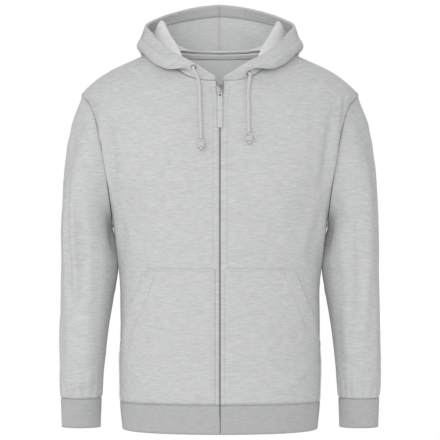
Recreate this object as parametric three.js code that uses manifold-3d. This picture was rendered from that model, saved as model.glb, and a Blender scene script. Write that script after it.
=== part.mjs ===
import * as THREE from "three";
import { mergeVertices } from "three/addons/utils/BufferGeometryUtils.js";
import Module from "manifold-3d";

const wasm = await Module();
wasm.setup();

// Zip up hoodie, filled out with no wearer, in millimetres, with +Z up and its front facing -Y.
// Left and right are the wearer's, so left is +X. The origin is in the neck opening, between the
// shoulders, 14 mm below the back neck seam.

// Cloth
const FLEECE = 1.8;
const LINING = 1.2;
const TAPE = 1;
const SEAM_GAP = 0.3;
const TRIM_SPARE = 0.03;
const VALLEY_LIMIT = 0.78;
const LAID_GAP = 0.4;
const LINING_GAP = 0.8;
const POCKET_GAP = 0.6;

// Steps of the panels' grids
const FRONT_COLUMNS = 10;
const BACK_COLUMNS = 9;
const SHOULDER_ROWS = 4;
const ARMHOLE_ROWS = 9;
const SIDE_ROWS = 9;
const SLEEVE_CAP_ROWS = 8;
const SLEEVE_ROWS = 10;
const RIB_ROWS = 3;
const HOOD_ROWS = [2, 2, 2, 3, 3];

// Rib and cuffs
const HEM_BAND = { depth: 50, drawnIn: 5, frontDrop: 4 };
const CUFF = { depth: 55, halfWidth: 36, halfDepth: 29, centreX: 259.5, centreY: -19 };

// The body, from the neck seam down to the hem band. "centre" is the middle of the front or back,
// "edge" the shoulder seam, then the armhole, then the side seam. "turn" is the direction in which
// the cloth runs at that edge, in degrees from the X axis.
const FRONT_LEVELS = [
  { name: "neck", centre: [7.4, -100, -49], edge: [105, 5, 22], turn: 90 },
  { name: "shoulder 1", centre: [6.2, -103, -58], edge: [145, 6, 5], turn: 88 },
  { name: "shoulder 2", centre: [4.6, -106.5, -69], edge: [187, 7, -14], turn: 86 },
  { name: "shoulder 3", centre: [1.4, -111, -84], edge: [227, 9, -36], turn: 84 },
  { name: "shoulder point", centre: [0.8, -115.5, -101], edge: [261, 10, -66], turn: 78 },
  { name: "armhole 1", centre: [0.8, -122, -127], edge: [240, -31, -96], turn: 62 },
  { name: "armhole 2", centre: [0.8, -128.5, -158], edge: [226, -52, -138], turn: 54 },
  { name: "armhole 3", centre: [0.8, -134, -195], edge: [215, -62, -188], turn: 52 },
  { name: "armhole 4", centre: [0.8, -138.5, -240], edge: [208, -58, -238], turn: 58 },
  { name: "armhole 5", centre: [0.8, -141, -284], edge: [203, -38, -284], turn: 72 },
  { name: "underarm", centre: [0.8, -141.5, -315], edge: [202, 0, -315], turn: 90 },
  { name: "side 1", centre: [0.8, -141, -350], edge: [195, 0, -350], turn: 90 },
  { name: "side 2", centre: [0.8, -140, -395], edge: [189, 0, -395], turn: 90 },
  { name: "side 3", centre: [0.8, -138, -470], edge: [187, 0, -470], turn: 90 },
  { name: "side 4", centre: [0.8, -136, -560], edge: [188, 0, -560], turn: 90 },
  { name: "hem seam", centre: [0.8, -135, -640], edge: [188, 0, -644], turn: 90 },
];
const BACK_LEVELS = [
  { name: "neck", centre: [0, 75, 14], turn: 90 },
  { name: "shoulder 1", centre: [0, 83, -5], turn: 88 },
  { name: "shoulder 2", centre: [0, 92, -27], turn: 86 },
  { name: "shoulder 3", centre: [0, 99, -50], turn: 84 },
  { name: "shoulder point", centre: [0, 105, -74], turn: 76 },
  { name: "armhole 1", centre: [0, 112, -105], edge: [247, 46, -96], turn: 62 },
  { name: "armhole 2", centre: [0, 119, -144], edge: [236, 66, -138], turn: 52 },
  { name: "armhole 3", centre: [0, 125, -190], edge: [224, 73, -188], turn: 50 },
  { name: "armhole 4", centre: [0, 129, -240], edge: [214, 66, -238], turn: 56 },
  { name: "armhole 5", centre: [0, 130, -285], edge: [205, 42, -284], turn: 70 },
  { name: "underarm", centre: [0, 130, -315], turn: 90 },
  { name: "side 1", centre: [0, 129, -350], turn: 90 },
  { name: "side 2", centre: [0, 128, -395], turn: 90 },
  { name: "side 3", centre: [0, 126, -470], turn: 90 },
  { name: "side 4", centre: [0, 125, -560], turn: 90 },
  { name: "hem seam", centre: [0, 125, -644], turn: 90 },
];
const SHOULDER_POINT = FRONT_LEVELS.findIndex((level) => level.name === "shoulder point");
const UNDERARM = FRONT_LEVELS.findIndex((level) => level.name === "underarm");
const HEM_SEAM = FRONT_LEVELS.length - 1;
const SECTION_FULLNESS = 0.62;
const NECK_RISE_DELAY = 1.35;

// The left sleeve below the armhole, as level ovals
const SLEEVE_SECTIONS = [
  { z: -386, x: 245.2, y: 0, halfWidth: 53.5, halfDepth: 70 },
  { z: -425, x: 247.5, y: -2, halfWidth: 51.5, halfDepth: 66 },
  { z: -468, x: 251, y: -5, halfWidth: 48.5, halfDepth: 60 },
  { z: -530, x: 256, y: -11, halfWidth: 44.5, halfDepth: 52 },
  { z: -590, x: 259, y: -16, halfWidth: 41.5, halfDepth: 45 },
  { z: -618, x: 259.5, y: -18, halfWidth: 40.5, halfDepth: 42 },
  { z: -636, x: 259.5, y: -19, halfWidth: 38, halfDepth: 37 },
];
const CAP_START = { outer: [0.37, 0, -0.93], side: [0.78, -0.12, -0.6], inner: [0.45, 0, -0.89] };

// The left half of the hood, lying open on the shoulders and back. Columns are counted along the
// neck seam from the front, and the cloth runs from that seam over its roll, down the valley to
// the bag's floor, and up the belly to the free edge.
const HOOD_STATIONS = [
  { at: 0, roll: [7.6, -101, -47.6], valley: [7.8, -101.7, -46.2], floor: [8, -102.3, -44.8],
    belly: [8.2, -102.8, -43.4], edge: [8.5, -103, -41.8] },
  { at: 3, roll: [54, -93, -36], valley: [54, -96.5, -31], floor: [53, -99, -27],
    belly: [52, -100.5, -21.5], edge: [50, -98.5, -15] },
  { at: 6, roll: [74, -63, 0], valley: [87, -71, -11], floor: [97, -82, -27],
    belly: [102, -86, -10], edge: [92, -74, 9] },
  { at: 8, roll: [84, -34, 23], valley: [108, -45, 5], floor: [125, -52, -12],
    belly: [130, -56, 8], edge: [113, -46, 28] },
  { at: 10, roll: [96, -4, 42], valley: [119, -8, 22], floor: [142, -8, 9],
    belly: [153, -9, 24], edge: [130, -13, 48] },
  { at: 13, roll: [111, 43, 71], valley: [125, 46, 28], floor: [141, 56, -3],
    belly: [154, 58, 24], edge: [143, 37, 65] },
  { at: 15, roll: [92, 73, 31], valley: [110, 88, -4], floor: [132, 102, -52],
    belly: [147, 118, 18], edge: [128, 82, 81] },
  { at: 17, roll: [52, 84, 13], valley: [64, 112, -38], floor: [82, 140, -112],
    belly: [97, 176, -12], edge: [82, 128, 102] },
  { at: 19, roll: [0, 85, 12], valley: [0, 116, -54], floor: [0, 155, -150],
    belly: [0, 192, -20], edge: [0, 150, 117] },
];
const HOOD_POINTS = ["roll", "valley", "floor", "belly", "edge"];

// Largest folds, as soft ridges between two points: [height, degrees round the left sleeve from its
// outer side towards the front] on a sleeve, and [x, z] on a front or back
const SLEEVE_MM_PER_DEGREE = 0.9;
const SLEEVE_FOLDS = [
  { from: [-205, 38], to: [-480, 52], height: 3.5, halfWidth: 15 },
  { from: [-250, 78], to: [-510, 84], height: -3.5, halfWidth: 15 },
  { from: [-420, 128], to: [-610, 112], height: 3, halfWidth: 16 },
  { from: [-225, 318], to: [-520, 300], height: 3.5, halfWidth: 16 },
  { from: [-330, 250], to: [-600, 232], height: -3, halfWidth: 16 },
];
const BODY_FOLDS = [
  { from: [224, -95], to: [196, -262], height: 4, halfWidth: 15 },
  { from: [150, -235], to: [186, -330], height: -3, halfWidth: 22 },
  { from: [118, -560], to: [150, -636], height: 3, halfWidth: 20 },
];

// Pockets: "hemLift", "zipInset", "mouthStrip" and "firstStep" are in rows and columns of the front's
// grid. The mouth stands out by "puff", which fades over "puffFade" above the mouth's lower end.
const POCKET = {
  top: -392, hemLift: 0.02, zipInset: 0.22, mouthStrip: 0.06, firstStep: 0.2, puff: 5, puffFade: 60, sideX: 180,
};
const POCKET_MOUTH = [
  { z: -392, x: 134 },
  { z: -440, x: 149 },
  { z: -489, x: 170 },
  { z: -524, x: 182 },
  { z: -545, x: 184.5 },
  { z: -640, x: 184.5 },
];

// Zip, slider and pull
const ZIP_TAPE = { width: 13, edgePast: 0.42 };
const SLIDER = { z: -67, topWidth: 12.5, bottomWidth: 9.5, height: 18, plate: 1.6, lift: 0.6, corner: 3 };
const WEDGE = { width: 3.4, height: 7, z: 5, start: -0.9, end: 4.1 };
const BACK_PLATE = { start: 3.9, thick: 1.2 };
const BRIDGE = { length: 12, width: 3, clear: 2.5, thick: 1.4, foot: 1.5 };
const PULL = {
  bar: 1.6, barDrop: 3, barInset: 0.1, legGap: 0.5, leg: 1.9, start: 10.5, length: 70, width: 9.5, thick: 1.6,
  corner: 2.5,
};
const PULL_CLEAR = { gap: 0.8, step: 2 };
const NECK_TAPE = { depth: 9.5, inset: 1.2 };

// Eyelets, on the hood's front ends, and drawcords, each a list of points from its eyelet down
// to its knot; "tip" is the middle of the knot
const EYELET = { outer: 5.4, bore: 3.4, thick: 1.3, lift: 0.9 };
const CORD = { diameter: 5.6, sides: 8, steps: 26 };
const KNOT = { halfWidth: 8, halfDepth: 6, lean: -14 };
const KNOT_PROFILE = [
  { radius: 0, z: -10 },
  { radius: 3.2, z: -9.6 },
  { radius: 3.7, z: -6 },
  { radius: 6.8, z: -4 },
  { radius: 8, z: 0 },
  { radius: 7.36, z: 5 },
  { radius: 4.8, z: 8.6 },
  { radius: 0, z: 10 },
];
const DRAWCORDS = [
  {
    side: "right",
    eyelet: { column: 2.7, row: 8 },
    route: [
      [-48, -101.7, -25.4], [-48.6, -104.7, -25.9], [-48.4, -107.2, -28.4], [-46.4, -108.3, -33.6],
      [-42.6, -107.6, -40], [-39.8, -106.2, -48], [-38, -106.2, -57], [-37.1, -108.9, -68],
      [-36.6, -112.9, -82], [-36.2, -117.4, -98], [-35.7, -121.4, -114], [-35.2, -125.2, -130],
      [-34.8, -128, -141], [-34.5, -131.2, -150], [-34.3, -134.4, -157.8],
    ],
    tip: [-34.2, -137, -167.9],
  },
  {
    side: "left",
    eyelet: { column: 2.85, row: 2.6 },
    route: [
      [52.4, -95.4, -35.7], [54.1, -97.6, -37], [54.9, -99.9, -40.2], [54.3, -101.7, -45.6],
      [53, -102.9, -53], [52, -105.5, -63], [51.2, -109.4, -75], [51.4, -113.4, -88],
      [51.7, -117.4, -102], [51.9, -121.1, -116], [52.2, -124.6, -130], [52.4, -127.6, -139],
      [52.6, -130.6, -146.8],
    ],
    tip: [52.8, -133.2, -156.9],
  },
];

const CLOTH = { color: 0xb9bab9, roughness: 0.95, metalness: 0 };
const RIB = { color: 0xacadac, roughness: 0.95, metalness: 0 };
const INSIDE = { color: 0xa6a8a8, roughness: 0.95, metalness: 0 };
const METAL = { color: 0x9a9c9e, roughness: 0.35, metalness: 0.9 };

const garment = new THREE.Group();
const vec = (x, y, z) => new THREE.Vector3(x, y, z);
const mirrored = (grid) => grid.map((row) => row.map((p) => vec(-p.x, p.y, p.z)));

function addMesh(name, geometry, finish) {
  const mesh = new THREE.Mesh(geometry, new THREE.MeshStandardMaterial(finish));
  mesh.name = name;
  garment.add(mesh);
  return mesh;
}

// A value between the rows of a table, on a smooth curve that may turn a corner at the breaks
function smoothValue(places, values, place, breaks = []) {
  const last = places.length - 1;
  let i = 0;
  while (i < last - 1 && place >= places[i + 1]) i += 1;
  const span = places[i + 1] - places[i];
  const slope = (a, b) => (values[b] - values[a]) / (places[b] - places[a]);
  const here = slope(i, i + 1);
  const startSlope = i > 0 && !breaks.includes(i) ? slope(i - 1, i + 1) : here;
  const endSlope = i + 2 <= last && !breaks.includes(i + 1) ? slope(i, i + 2) : here;
  const t = (place - places[i]) / span;
  const rise = t * t * (3 - 2 * t);
  const lead = t * (1 - t) * (1 - t) * span;
  const trail = t * t * (t - 1) * span;
  return values[i] * (1 - rise) + values[i + 1] * rise + startSlope * lead + endSlope * trail;
}

function smoothPoint(places, points, place, breaks) {
  const part = (axis) => smoothValue(places, points.map((p) => p[axis]), place, breaks);
  return vec(part(0), part(1), part(2));
}

const easeBoth = (t) => t * t * (3 - 2 * t);

// A soft ridge of a given height along a line, fading at its ends
function ridge(fold, across, along) {
  const [x0, z0] = fold.from;
  const [x1, z1] = fold.to;
  const length = Math.hypot(x1 - x0, z1 - z0);
  const share = ((across - x0) * (x1 - x0) + (along - z0) * (z1 - z0)) / length ** 2;
  if (share <= 0 || share >= 1) return 0;
  const off = ((across - x0) * (z1 - z0) - (along - z0) * (x1 - x0)) / length / fold.halfWidth;
  return fold.height * Math.exp(-off * off) * Math.sin(Math.PI * share) ** 0.7;
}

// Places of the grid rows in the level tables
const spread = (from, to, steps) =>
  Array.from({ length: steps }, (_, i) => from + ((to - from) * (i + 1)) / steps);
const LEVEL_ROWS = [
  0,
  ...spread(0, SHOULDER_POINT, SHOULDER_ROWS),
  ...spread(SHOULDER_POINT, UNDERARM, ARMHOLE_ROWS),
  ...spread(UNDERARM, HEM_SEAM, SIDE_ROWS),
];
const SHOULDER_ROW = SHOULDER_ROWS;
const UNDERARM_ROW = SHOULDER_ROWS + ARMHOLE_ROWS;
const LEVEL_PLACES = FRONT_LEVELS.map((_, i) => i);
const CORNERS = [SHOULDER_POINT, UNDERARM];

// A body panel's grid: each row leaves the centre along X and reaches its edge in the row's turn
function bodyGrid(levels, columns) {
  const edges = levels.map((level, i) => level.edge ?? FRONT_LEVELS[i].edge);
  return LEVEL_ROWS.map((place) => {
    const centre = smoothPoint(LEVEL_PLACES, levels.map((level) => level.centre), place);
    const edge = smoothPoint(LEVEL_PLACES, edges, place, CORNERS);
    const turn = smoothValue(LEVEL_PLACES, levels.map((level) => level.turn), place, CORNERS);
    const angle = THREE.MathUtils.degToRad(turn);
    const depth = edge.y - centre.y;
    const reach = (SECTION_FULLNESS * Math.abs(depth)) / Math.sin(angle);
    const section = new THREE.CubicBezierCurve(
      new THREE.Vector2(centre.x, centre.y),
      new THREE.Vector2(centre.x + SECTION_FULLNESS * (edge.x - centre.x), centre.y),
      new THREE.Vector2(edge.x - reach * Math.cos(angle), edge.y - Math.sign(depth) * reach * Math.sin(angle)),
      new THREE.Vector2(edge.x, edge.y),
    );
    return Array.from({ length: columns + 1 }, (_, c) => {
      const share = c / columns;
      const plan = section.getPoint(share);
      const z = centre.z + (edge.z - centre.z) * easeBoth(share ** NECK_RISE_DELAY);
      const folds = BODY_FOLDS.reduce((sum, fold) => sum + ridge(fold, plan.x, z), 0);
      const height = folds * easeBoth(4 * share * (1 - share));
      return vec(plan.x, plan.y - Math.sign(depth) * height, z);
    });
  });
}

// Outward normals of a grid, as seen from the side that "facing" names
function gridNormals({ grid, ring, facing }) {
  const lastRow = grid.length - 1;
  const count = grid[0].length;
  return grid.map((row, r) => row.map((_, c) => {
    const before = ring ? row[(c + count - 1) % count] : row[Math.max(c - 1, 0)];
    const after = ring ? row[(c + 1) % count] : row[Math.min(c + 1, count - 1)];
    const across = after.clone().sub(before);
    const along = grid[Math.min(r + 1, lastRow)][c].clone().sub(grid[Math.max(r - 1, 0)][c]);
    return across.cross(along).multiplyScalar(facing).normalize();
  }));
}

function makePanel(name, grid, options) {
  const panel = { name, grid, ring: false, facing: 1, wall: FLEECE, finish: CLOTH, ...options };
  panel.normals = gridNormals(panel);
  return panel;
}

const onBorder = (panel, r, c) =>
  r === 0 || r === panel.grid.length - 1 || (!panel.ring && (c === 0 || c === panel.grid[0].length - 1));

// Where pieces meet at a seam their walls share one direction, so that the cut edges lie face to
// face. At a sharp valley, such as the underarm, each wall keeps its own.
function shareSeams(panels) {
  const meetings = new Map();
  panels.forEach((panel) => panel.grid.forEach((row, r) => row.forEach((p, c) => {
    if (!onBorder(panel, r, c)) return;
    const key = p.toArray().map((n) => n.toFixed(2)).join();
    if (!meetings.has(key)) meetings.set(key, []);
    meetings.get(key).push({ panel, r, c });
  })));
  meetings.forEach((meeting) => {
    if (meeting.length < 2) return;
    const own = meeting.map(({ panel, r, c }) => panel.normals[r][c].clone());
    const mean = own.reduce((sum, n) => sum.add(n), vec(0, 0, 0)).normalize();
    meeting.forEach(({ panel, r, c }, i) => {
      if (own[i].dot(mean) > VALLEY_LIMIT) panel.normals[r][c].copy(mean);
    });
  });
}

// How far a border point moves into its own panel, square to the seam, for half of the seam's gap
function trimOf(panel, r, c) {
  const { grid, ring } = panel;
  const lastRow = grid.length - 1;
  const count = grid[0].length;
  const here = grid[r][c];
  const move = vec(0, 0, 0);
  const step = (to, before, after) => {
    const seam = after.clone().sub(before).normalize();
    const inward = to.clone().sub(here);
    inward.addScaledVector(seam, -inward.dot(seam));
    move.add(inward.setLength(SEAM_GAP / 2 + TRIM_SPARE));
  };
  const left = ring ? grid[r][(c + count - 1) % count] : grid[r][Math.max(c - 1, 0)];
  const right = ring ? grid[r][(c + 1) % count] : grid[r][Math.min(c + 1, count - 1)];
  const above = grid[Math.max(r - 1, 0)][c];
  const below = grid[Math.min(r + 1, lastRow)][c];
  if (r === 0) step(below, left, right);
  if (r === lastRow) step(above, left, right);
  if (!ring && c === 0) step(right, above, below);
  if (!ring && c === count - 1) step(left, above, below);
  return move;
}

// A closed wall between an outer and an inner grid of points
function wallGeometry(outer, inner, ring, facing) {
  const rows = outer.length;
  const count = outer[0].length;
  const positions = [];
  [outer, inner].forEach((grid) => grid.forEach((row) => row.forEach((p) => positions.push(p.x, p.y, p.z))));
  const index = [];
  const at = (side, r, c) => side * rows * count + r * count + (c % count);
  const quad = (a, b, c, d) => index.push(a, b, c, a, c, d);
  const flipped = (a, b, c, d) => index.push(a, c, b, a, d, c);
  const face = facing > 0 ? quad : flipped;
  const back = facing > 0 ? flipped : quad;
  const lastColumn = ring ? count : count - 1;
  for (let r = 0; r < rows - 1; r += 1) {
    for (let c = 0; c < lastColumn; c += 1) {
      face(at(0, r, c), at(0, r, c + 1), at(0, r + 1, c + 1), at(0, r + 1, c));
      back(at(1, r, c), at(1, r, c + 1), at(1, r + 1, c + 1), at(1, r + 1, c));
    }
  }
  for (let c = 0; c < lastColumn; c += 1) {
    face(at(1, 0, c), at(1, 0, c + 1), at(0, 0, c + 1), at(0, 0, c));
    face(at(0, rows - 1, c), at(0, rows - 1, c + 1), at(1, rows - 1, c + 1), at(1, rows - 1, c));
  }
  if (!ring) {
    for (let r = 0; r < rows - 1; r += 1) {
      face(at(1, r, 0), at(0, r, 0), at(0, r + 1, 0), at(1, r + 1, 0));
      face(at(0, r, count - 1), at(1, r, count - 1), at(1, r + 1, count - 1), at(0, r + 1, count - 1));
    }
  }
  const geometry = new THREE.BufferGeometry();
  geometry.setAttribute("position", new THREE.Float32BufferAttribute(positions, 3));
  geometry.setIndex(index);
  return geometry;
}

// The wall of a panel, from "lift" above its points down through its thickness
function panelWall(panel, lift = 0) {
  const { grid, normals, ring, facing, wall } = panel;
  const layer = (height) => grid.map((row, r) => row.map((p, c) => {
    const point = p.clone().addScaledVector(normals[r][c], height);
    return onBorder(panel, r, c) ? point.add(trimOf(panel, r, c)) : point;
  }));
  return wallGeometry(layer(lift), layer(lift - wall), ring, facing);
}

// A point laid on a panel at a row and column that may fall between its points
function laidOn(panel, row, column, lift) {
  const r = Math.min(Math.floor(row), panel.grid.length - 2);
  const c = Math.min(Math.floor(column), panel.grid[0].length - 2);
  const raised = (i, j) => panel.grid[i][j].clone().addScaledVector(panel.normals[i][j], lift);
  const upper = raised(r, c).lerp(raised(r, c + 1), column - c);
  const lower = raised(r + 1, c).lerp(raised(r + 1, c + 1), column - c);
  return upper.lerp(lower, row - r);
}

// Body panels
const frontGrid = bodyGrid(FRONT_LEVELS, FRONT_COLUMNS);
const backHalf = bodyGrid(BACK_LEVELS, BACK_COLUMNS);
const backGrid = backHalf.map((row, r) => {
  const other = mirrored([row])[0];
  return [...row.toReversed(), ...other.slice(1)];
});
const frontLeft = makePanel("front_left", frontGrid, { facing: -1 });
const frontRight = makePanel("front_right", mirrored(frontGrid), { facing: 1 });
const back = makePanel("back", backGrid, { facing: -1 });

// Sleeves, from the armhole's points through the shoulder cap to the cuff seam
function sleeveGrid() {
  const frontEdge = [];
  const backEdge = [];
  for (let r = SHOULDER_ROW; r <= UNDERARM_ROW; r += 1) {
    frontEdge.push(frontGrid[r].at(-1));
    backEdge.push(backHalf[r].at(-1));
  }
  const armhole = [...frontEdge, ...backEdge.toReversed().slice(1, -1)];
  const places = SLEEVE_SECTIONS.map((section) => -section.z);
  const sectionPoint = (z, i) => {
    const angle = (2 * Math.PI * i) / armhole.length;
    const size = (key) => smoothValue(places, SLEEVE_SECTIONS.map((section) => section[key]), -z);
    const x = size("x") + size("halfWidth") * Math.cos(angle);
    return vec(x, size("y") - size("halfDepth") * Math.sin(angle), z);
  };
  const capEnd = SLEEVE_SECTIONS[0].z;
  const cuffSeam = SLEEVE_SECTIONS.at(-1).z;
  const capPoint = (share, i) => {
    const angle = (2 * Math.PI * i) / armhole.length;
    const start = armhole[i];
    const end = sectionPoint(capEnd, i);
    const chord = start.distanceTo(end);
    const ends = Math.cos(angle) > 0 ? CAP_START.outer : CAP_START.inner;
    const toSide = Math.sin(angle) ** 2;
    const side = [CAP_START.side[0], CAP_START.side[1] * Math.sign(Math.sin(angle)), CAP_START.side[2]];
    const leave = vec(...ends).lerp(vec(...side), toSide).setLength(chord);
    const arrive = vec(0, 0, -chord);
    const rise = easeBoth(share);
    return start.clone().multiplyScalar(1 - rise).addScaledVector(end, rise)
      .addScaledVector(leave, share * (1 - share) ** 2)
      .addScaledVector(arrive, share * share * (share - 1));
  };
  const grid = [];
  for (let r = 0; r < SLEEVE_CAP_ROWS; r += 1) {
    grid.push(armhole.map((_, i) => capPoint(r / SLEEVE_CAP_ROWS, i)));
  }
  for (let r = 0; r <= SLEEVE_ROWS; r += 1) {
    const z = capEnd + ((cuffSeam - capEnd) * r) / SLEEVE_ROWS;
    grid.push(armhole.map((_, i) => sectionPoint(z, i)));
  }
  return grid;
}

// Folds stand out from the sleeve along its normals; the armhole and cuff seam stay where they are
function foldedSleeve(grid) {
  const normals = gridNormals({ grid, ring: true, facing: 1 });
  return grid.map((row, r) => row.map((p, i) => {
    if (r === 0 || r === grid.length - 1) return p;
    const degrees = (360 * i) / row.length;
    const height = SLEEVE_FOLDS.reduce((sum, fold) => {
      const scaled = {
        ...fold,
        from: [fold.from[1] * SLEEVE_MM_PER_DEGREE, fold.from[0]],
        to: [fold.to[1] * SLEEVE_MM_PER_DEGREE, fold.to[0]],
      };
      return sum + ridge(scaled, degrees * SLEEVE_MM_PER_DEGREE, p.z);
    }, 0);
    return p.clone().addScaledVector(normals[r][i], height);
  }));
}
const sleeveLeftGrid = foldedSleeve(sleeveGrid());
const sleeveLeft = makePanel("sleeve_left", sleeveLeftGrid, { ring: true, facing: 1 });
const sleeveRight = makePanel("sleeve_right", mirrored(sleeveLeftGrid), { ring: true, facing: -1 });

// Cuffs and hem band, in rib, each going on from the seam row above it
function ribGrid(seamRow, bottomRow) {
  return Array.from({ length: RIB_ROWS + 1 }, (_, r) =>
    seamRow.map((p, c) => p.clone().lerp(bottomRow[c], r / RIB_ROWS)));
}
const cuffSeamRow = sleeveLeftGrid.at(-1);
const cuffGrid = ribGrid(cuffSeamRow, cuffSeamRow.map((p, i) => {
  const angle = (2 * Math.PI * i) / cuffSeamRow.length;
  const x = CUFF.centreX + CUFF.halfWidth * Math.cos(angle);
  return vec(x, CUFF.centreY - CUFF.halfDepth * Math.sin(angle), p.z - CUFF.depth);
}));
const cuffLeft = makePanel("cuff_left", cuffGrid, { ring: true, facing: 1, finish: RIB });
const cuffRight = makePanel("cuff_right", mirrored(cuffGrid), { ring: true, facing: -1, finish: RIB });

const hemSeamRow = [
  ...frontGrid.at(-1),
  ...backGrid.at(-1).slice(1),
  ...mirrored([frontGrid.at(-1)])[0].toReversed().slice(1),
];
const hemBottomRow = hemSeamRow.map((p) => {
  const girth = Math.hypot(p.x, p.y);
  const inward = 1 - HEM_BAND.drawnIn / girth;
  const front = THREE.MathUtils.clamp(-p.y / Math.abs(hemSeamRow[0].y), 0, 1);
  const sideways = Math.abs(p.x) < 1 && p.y < 0 ? p.x : p.x * inward;
  return vec(sideways, p.y * inward, p.z - HEM_BAND.depth - HEM_BAND.frontDrop * front);
});
const hemBand = makePanel("hem_band", ribGrid(hemSeamRow, hemBottomRow), { facing: -1, finish: RIB });

// Hood: the neck seam row is shared with the fronts and back
const neckRow = [...frontGrid[0], ...backHalf[0].toReversed().slice(1)];
const centreBack = HOOD_STATIONS.at(-1).at;
const beyondCentre = Object.fromEntries(HOOD_POINTS.map((key) => {
  const [x, y, z] = HOOD_STATIONS.at(-2)[key];
  return [key, [-x, y, z]];
}));
const stations = [...HOOD_STATIONS, { at: 2 * centreBack - HOOD_STATIONS.at(-2).at, ...beyondCentre }];
const stationPlaces = stations.map((station) => station.at);
function hoodGrid() {
  const columns = neckRow.map((start, c) => {
    const knots = [start.toArray()];
    HOOD_POINTS.forEach((key) => {
      knots.push(smoothPoint(stationPlaces, stations.map((station) => station[key]), c).toArray());
    });
    const places = knots.map((_, i) => i);
    const steps = [0];
    HOOD_ROWS.forEach((count, i) => steps.push(...spread(i, i + 1, count)));
    return steps.map((place) => smoothPoint(places, knots, place));
  });
  return columns[0].map((_, r) => columns.map((column) => column[r]));
}
const hoodLeftGrid = hoodGrid();
hoodLeftGrid[0] = neckRow;
const hoodLeft = makePanel("hood_left", hoodLeftGrid, { facing: 1 });
const hoodRight = makePanel("hood_right", mirrored(hoodLeftGrid), { facing: -1 });

const clothPanels = [
  frontLeft, frontRight, back, sleeveLeft, sleeveRight, cuffLeft, cuffRight, hemBand, hoodLeft, hoodRight,
];
shareSeams(clothPanels);
clothPanels.forEach((panel) => addMesh(panel.name, panelWall(panel), panel.finish));

// Hood lining, sewn to the hood along its edge and neck seam
[hoodLeft, hoodRight].forEach((hood) => {
  const lining = { ...hood, name: hood.name.replace("hood", "hood_lining"), wall: LINING, finish: INSIDE };
  addMesh(lining.name, panelWall(lining, -FLEECE - LINING_GAP), lining.finish);
});

// Split kangaroo pockets, patches laid on the fronts with a slanted mouth towards the side
function columnAt(panel, row, x) {
  const count = panel.grid[0].length;
  let column = 0;
  while (column < count - 2 && Math.abs(laidOn(panel, row, column + 1, 0).x) < x) column += 1;
  const from = Math.abs(laidOn(panel, row, column, 0).x);
  const to = Math.abs(laidOn(panel, row, column + 1, 0).x);
  return column + (x - from) / (to - from);
}
function rowAt(panel, column, z) {
  let row = 0;
  while (row < panel.grid.length - 2 && laidOn(panel, row + 1, column, 0).z > z) row += 1;
  const from = laidOn(panel, row, column, 0).z;
  const to = laidOn(panel, row + 1, column, 0).z;
  return row + (z - from) / (to - from);
}
function pocketWall(front) {
  const mouthPlaces = POCKET_MOUTH.map((point) => -point.z);
  const mouthX = POCKET_MOUTH.map((point) => point.x);
  const topRow = rowAt(front, 0, POCKET.top);
  const lastRow = front.grid.length - 1;
  const mouthEnd = POCKET_MOUTH.findIndex((point) => point.x > POCKET.sideX);
  const rows = [topRow];
  for (let row = Math.ceil(topRow + POCKET.firstStep); row < lastRow; row += 1) rows.push(row);
  rows.push(lastRow - POCKET.hemLift);
  const lastColumn = FRONT_COLUMNS - 1;
  const layer = (lift) => rows.map((row, r) => {
    const height = -laidOn(front, row, 0, 0).z;
    const mouth = columnAt(front, row, smoothValue(mouthPlaces, mouthX, Math.min(height, mouthPlaces.at(-1))));
    const aboveEnd = THREE.MathUtils.clamp((mouthPlaces[mouthEnd] - height) / POCKET.puffFade, 0, 1);
    const open = aboveEnd * Math.min(r / 2, 1);
    return Array.from({ length: lastColumn + 2 }, (_, c) => {
      const strip = mouth - (lastColumn + 1 - c) * POCKET.mouthStrip;
      const column = c === 0 ? POCKET.zipInset : Math.min(c > lastColumn ? mouth : c, strip);
      const puff = POCKET.puff * (column / mouth) ** 4 * easeBoth(open);
      return laidOn(front, row, column, lift + puff);
    });
  });
  return wallGeometry(layer(POCKET_GAP + FLEECE), layer(POCKET_GAP), false, front.facing);
}
[frontLeft, frontRight].forEach((front) => {
  addMesh(front.name.replace("front", "pocket"), pocketWall(front), CLOTH);
});

// Zip tapes, behind the front edges and the ends of the hem band, with the edge that carries the
// teeth just past the cloth
function tapeWall(front) {
  const side = Math.sign(front.grid[0][0].x);
  const hemEnd = side > 0 ? [0, 1] : [hemSeamRow.length - 1, hemSeamRow.length - 2];
  const carriers = [
    ...front.grid.map((_, r) => ({ panel: front, r, columns: [0, 1] })),
    ...spread(0, RIB_ROWS, RIB_ROWS).map((r) => ({ panel: hemBand, r, columns: hemEnd })),
  ];
  const layer = (lift) => carriers.map(({ panel, r, columns }, i) => {
    const zipEdge = laidOn(panel, r, columns[0], lift);
    const free = laidOn(panel, r, columns[1], lift).sub(zipEdge).setLength(ZIP_TAPE.width).add(zipEdge);
    zipEdge.x -= side * ZIP_TAPE.edgePast;
    if (i > 0 && i < carriers.length - 1) return [zipEdge, free];
    const end = trimOf(panel, r, columns[0]);
    end.x = 0;
    return [zipEdge.add(end), free.add(end)];
  });
  const inside = -FLEECE - LAID_GAP;
  return wallGeometry(layer(inside), layer(inside - TAPE), false, front.facing);
}
[frontLeft, frontRight].forEach((front) => {
  addMesh(front.name.replace("front", "zip_tape"), tapeWall(front), INSIDE);
});

// Neck tape, over the back neck seam inside
function neckTapeWall() {
  const drop = rowAt(back, BACK_COLUMNS, back.grid[0][BACK_COLUMNS].z - NECK_TAPE.depth);
  const inset = (drop * NECK_TAPE.inset) / NECK_TAPE.depth;
  const layer = (lift) => [inset, drop].map((row) =>
    back.grid[0].map((_, c) => laidOn(back, row, c, lift)).slice(1, -1));
  return wallGeometry(layer(-FLEECE - LAID_GAP), layer(-FLEECE - LAID_GAP - TAPE), false, back.facing);
}
addMesh("neck_tape", neckTapeWall(), CLOTH);

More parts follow.
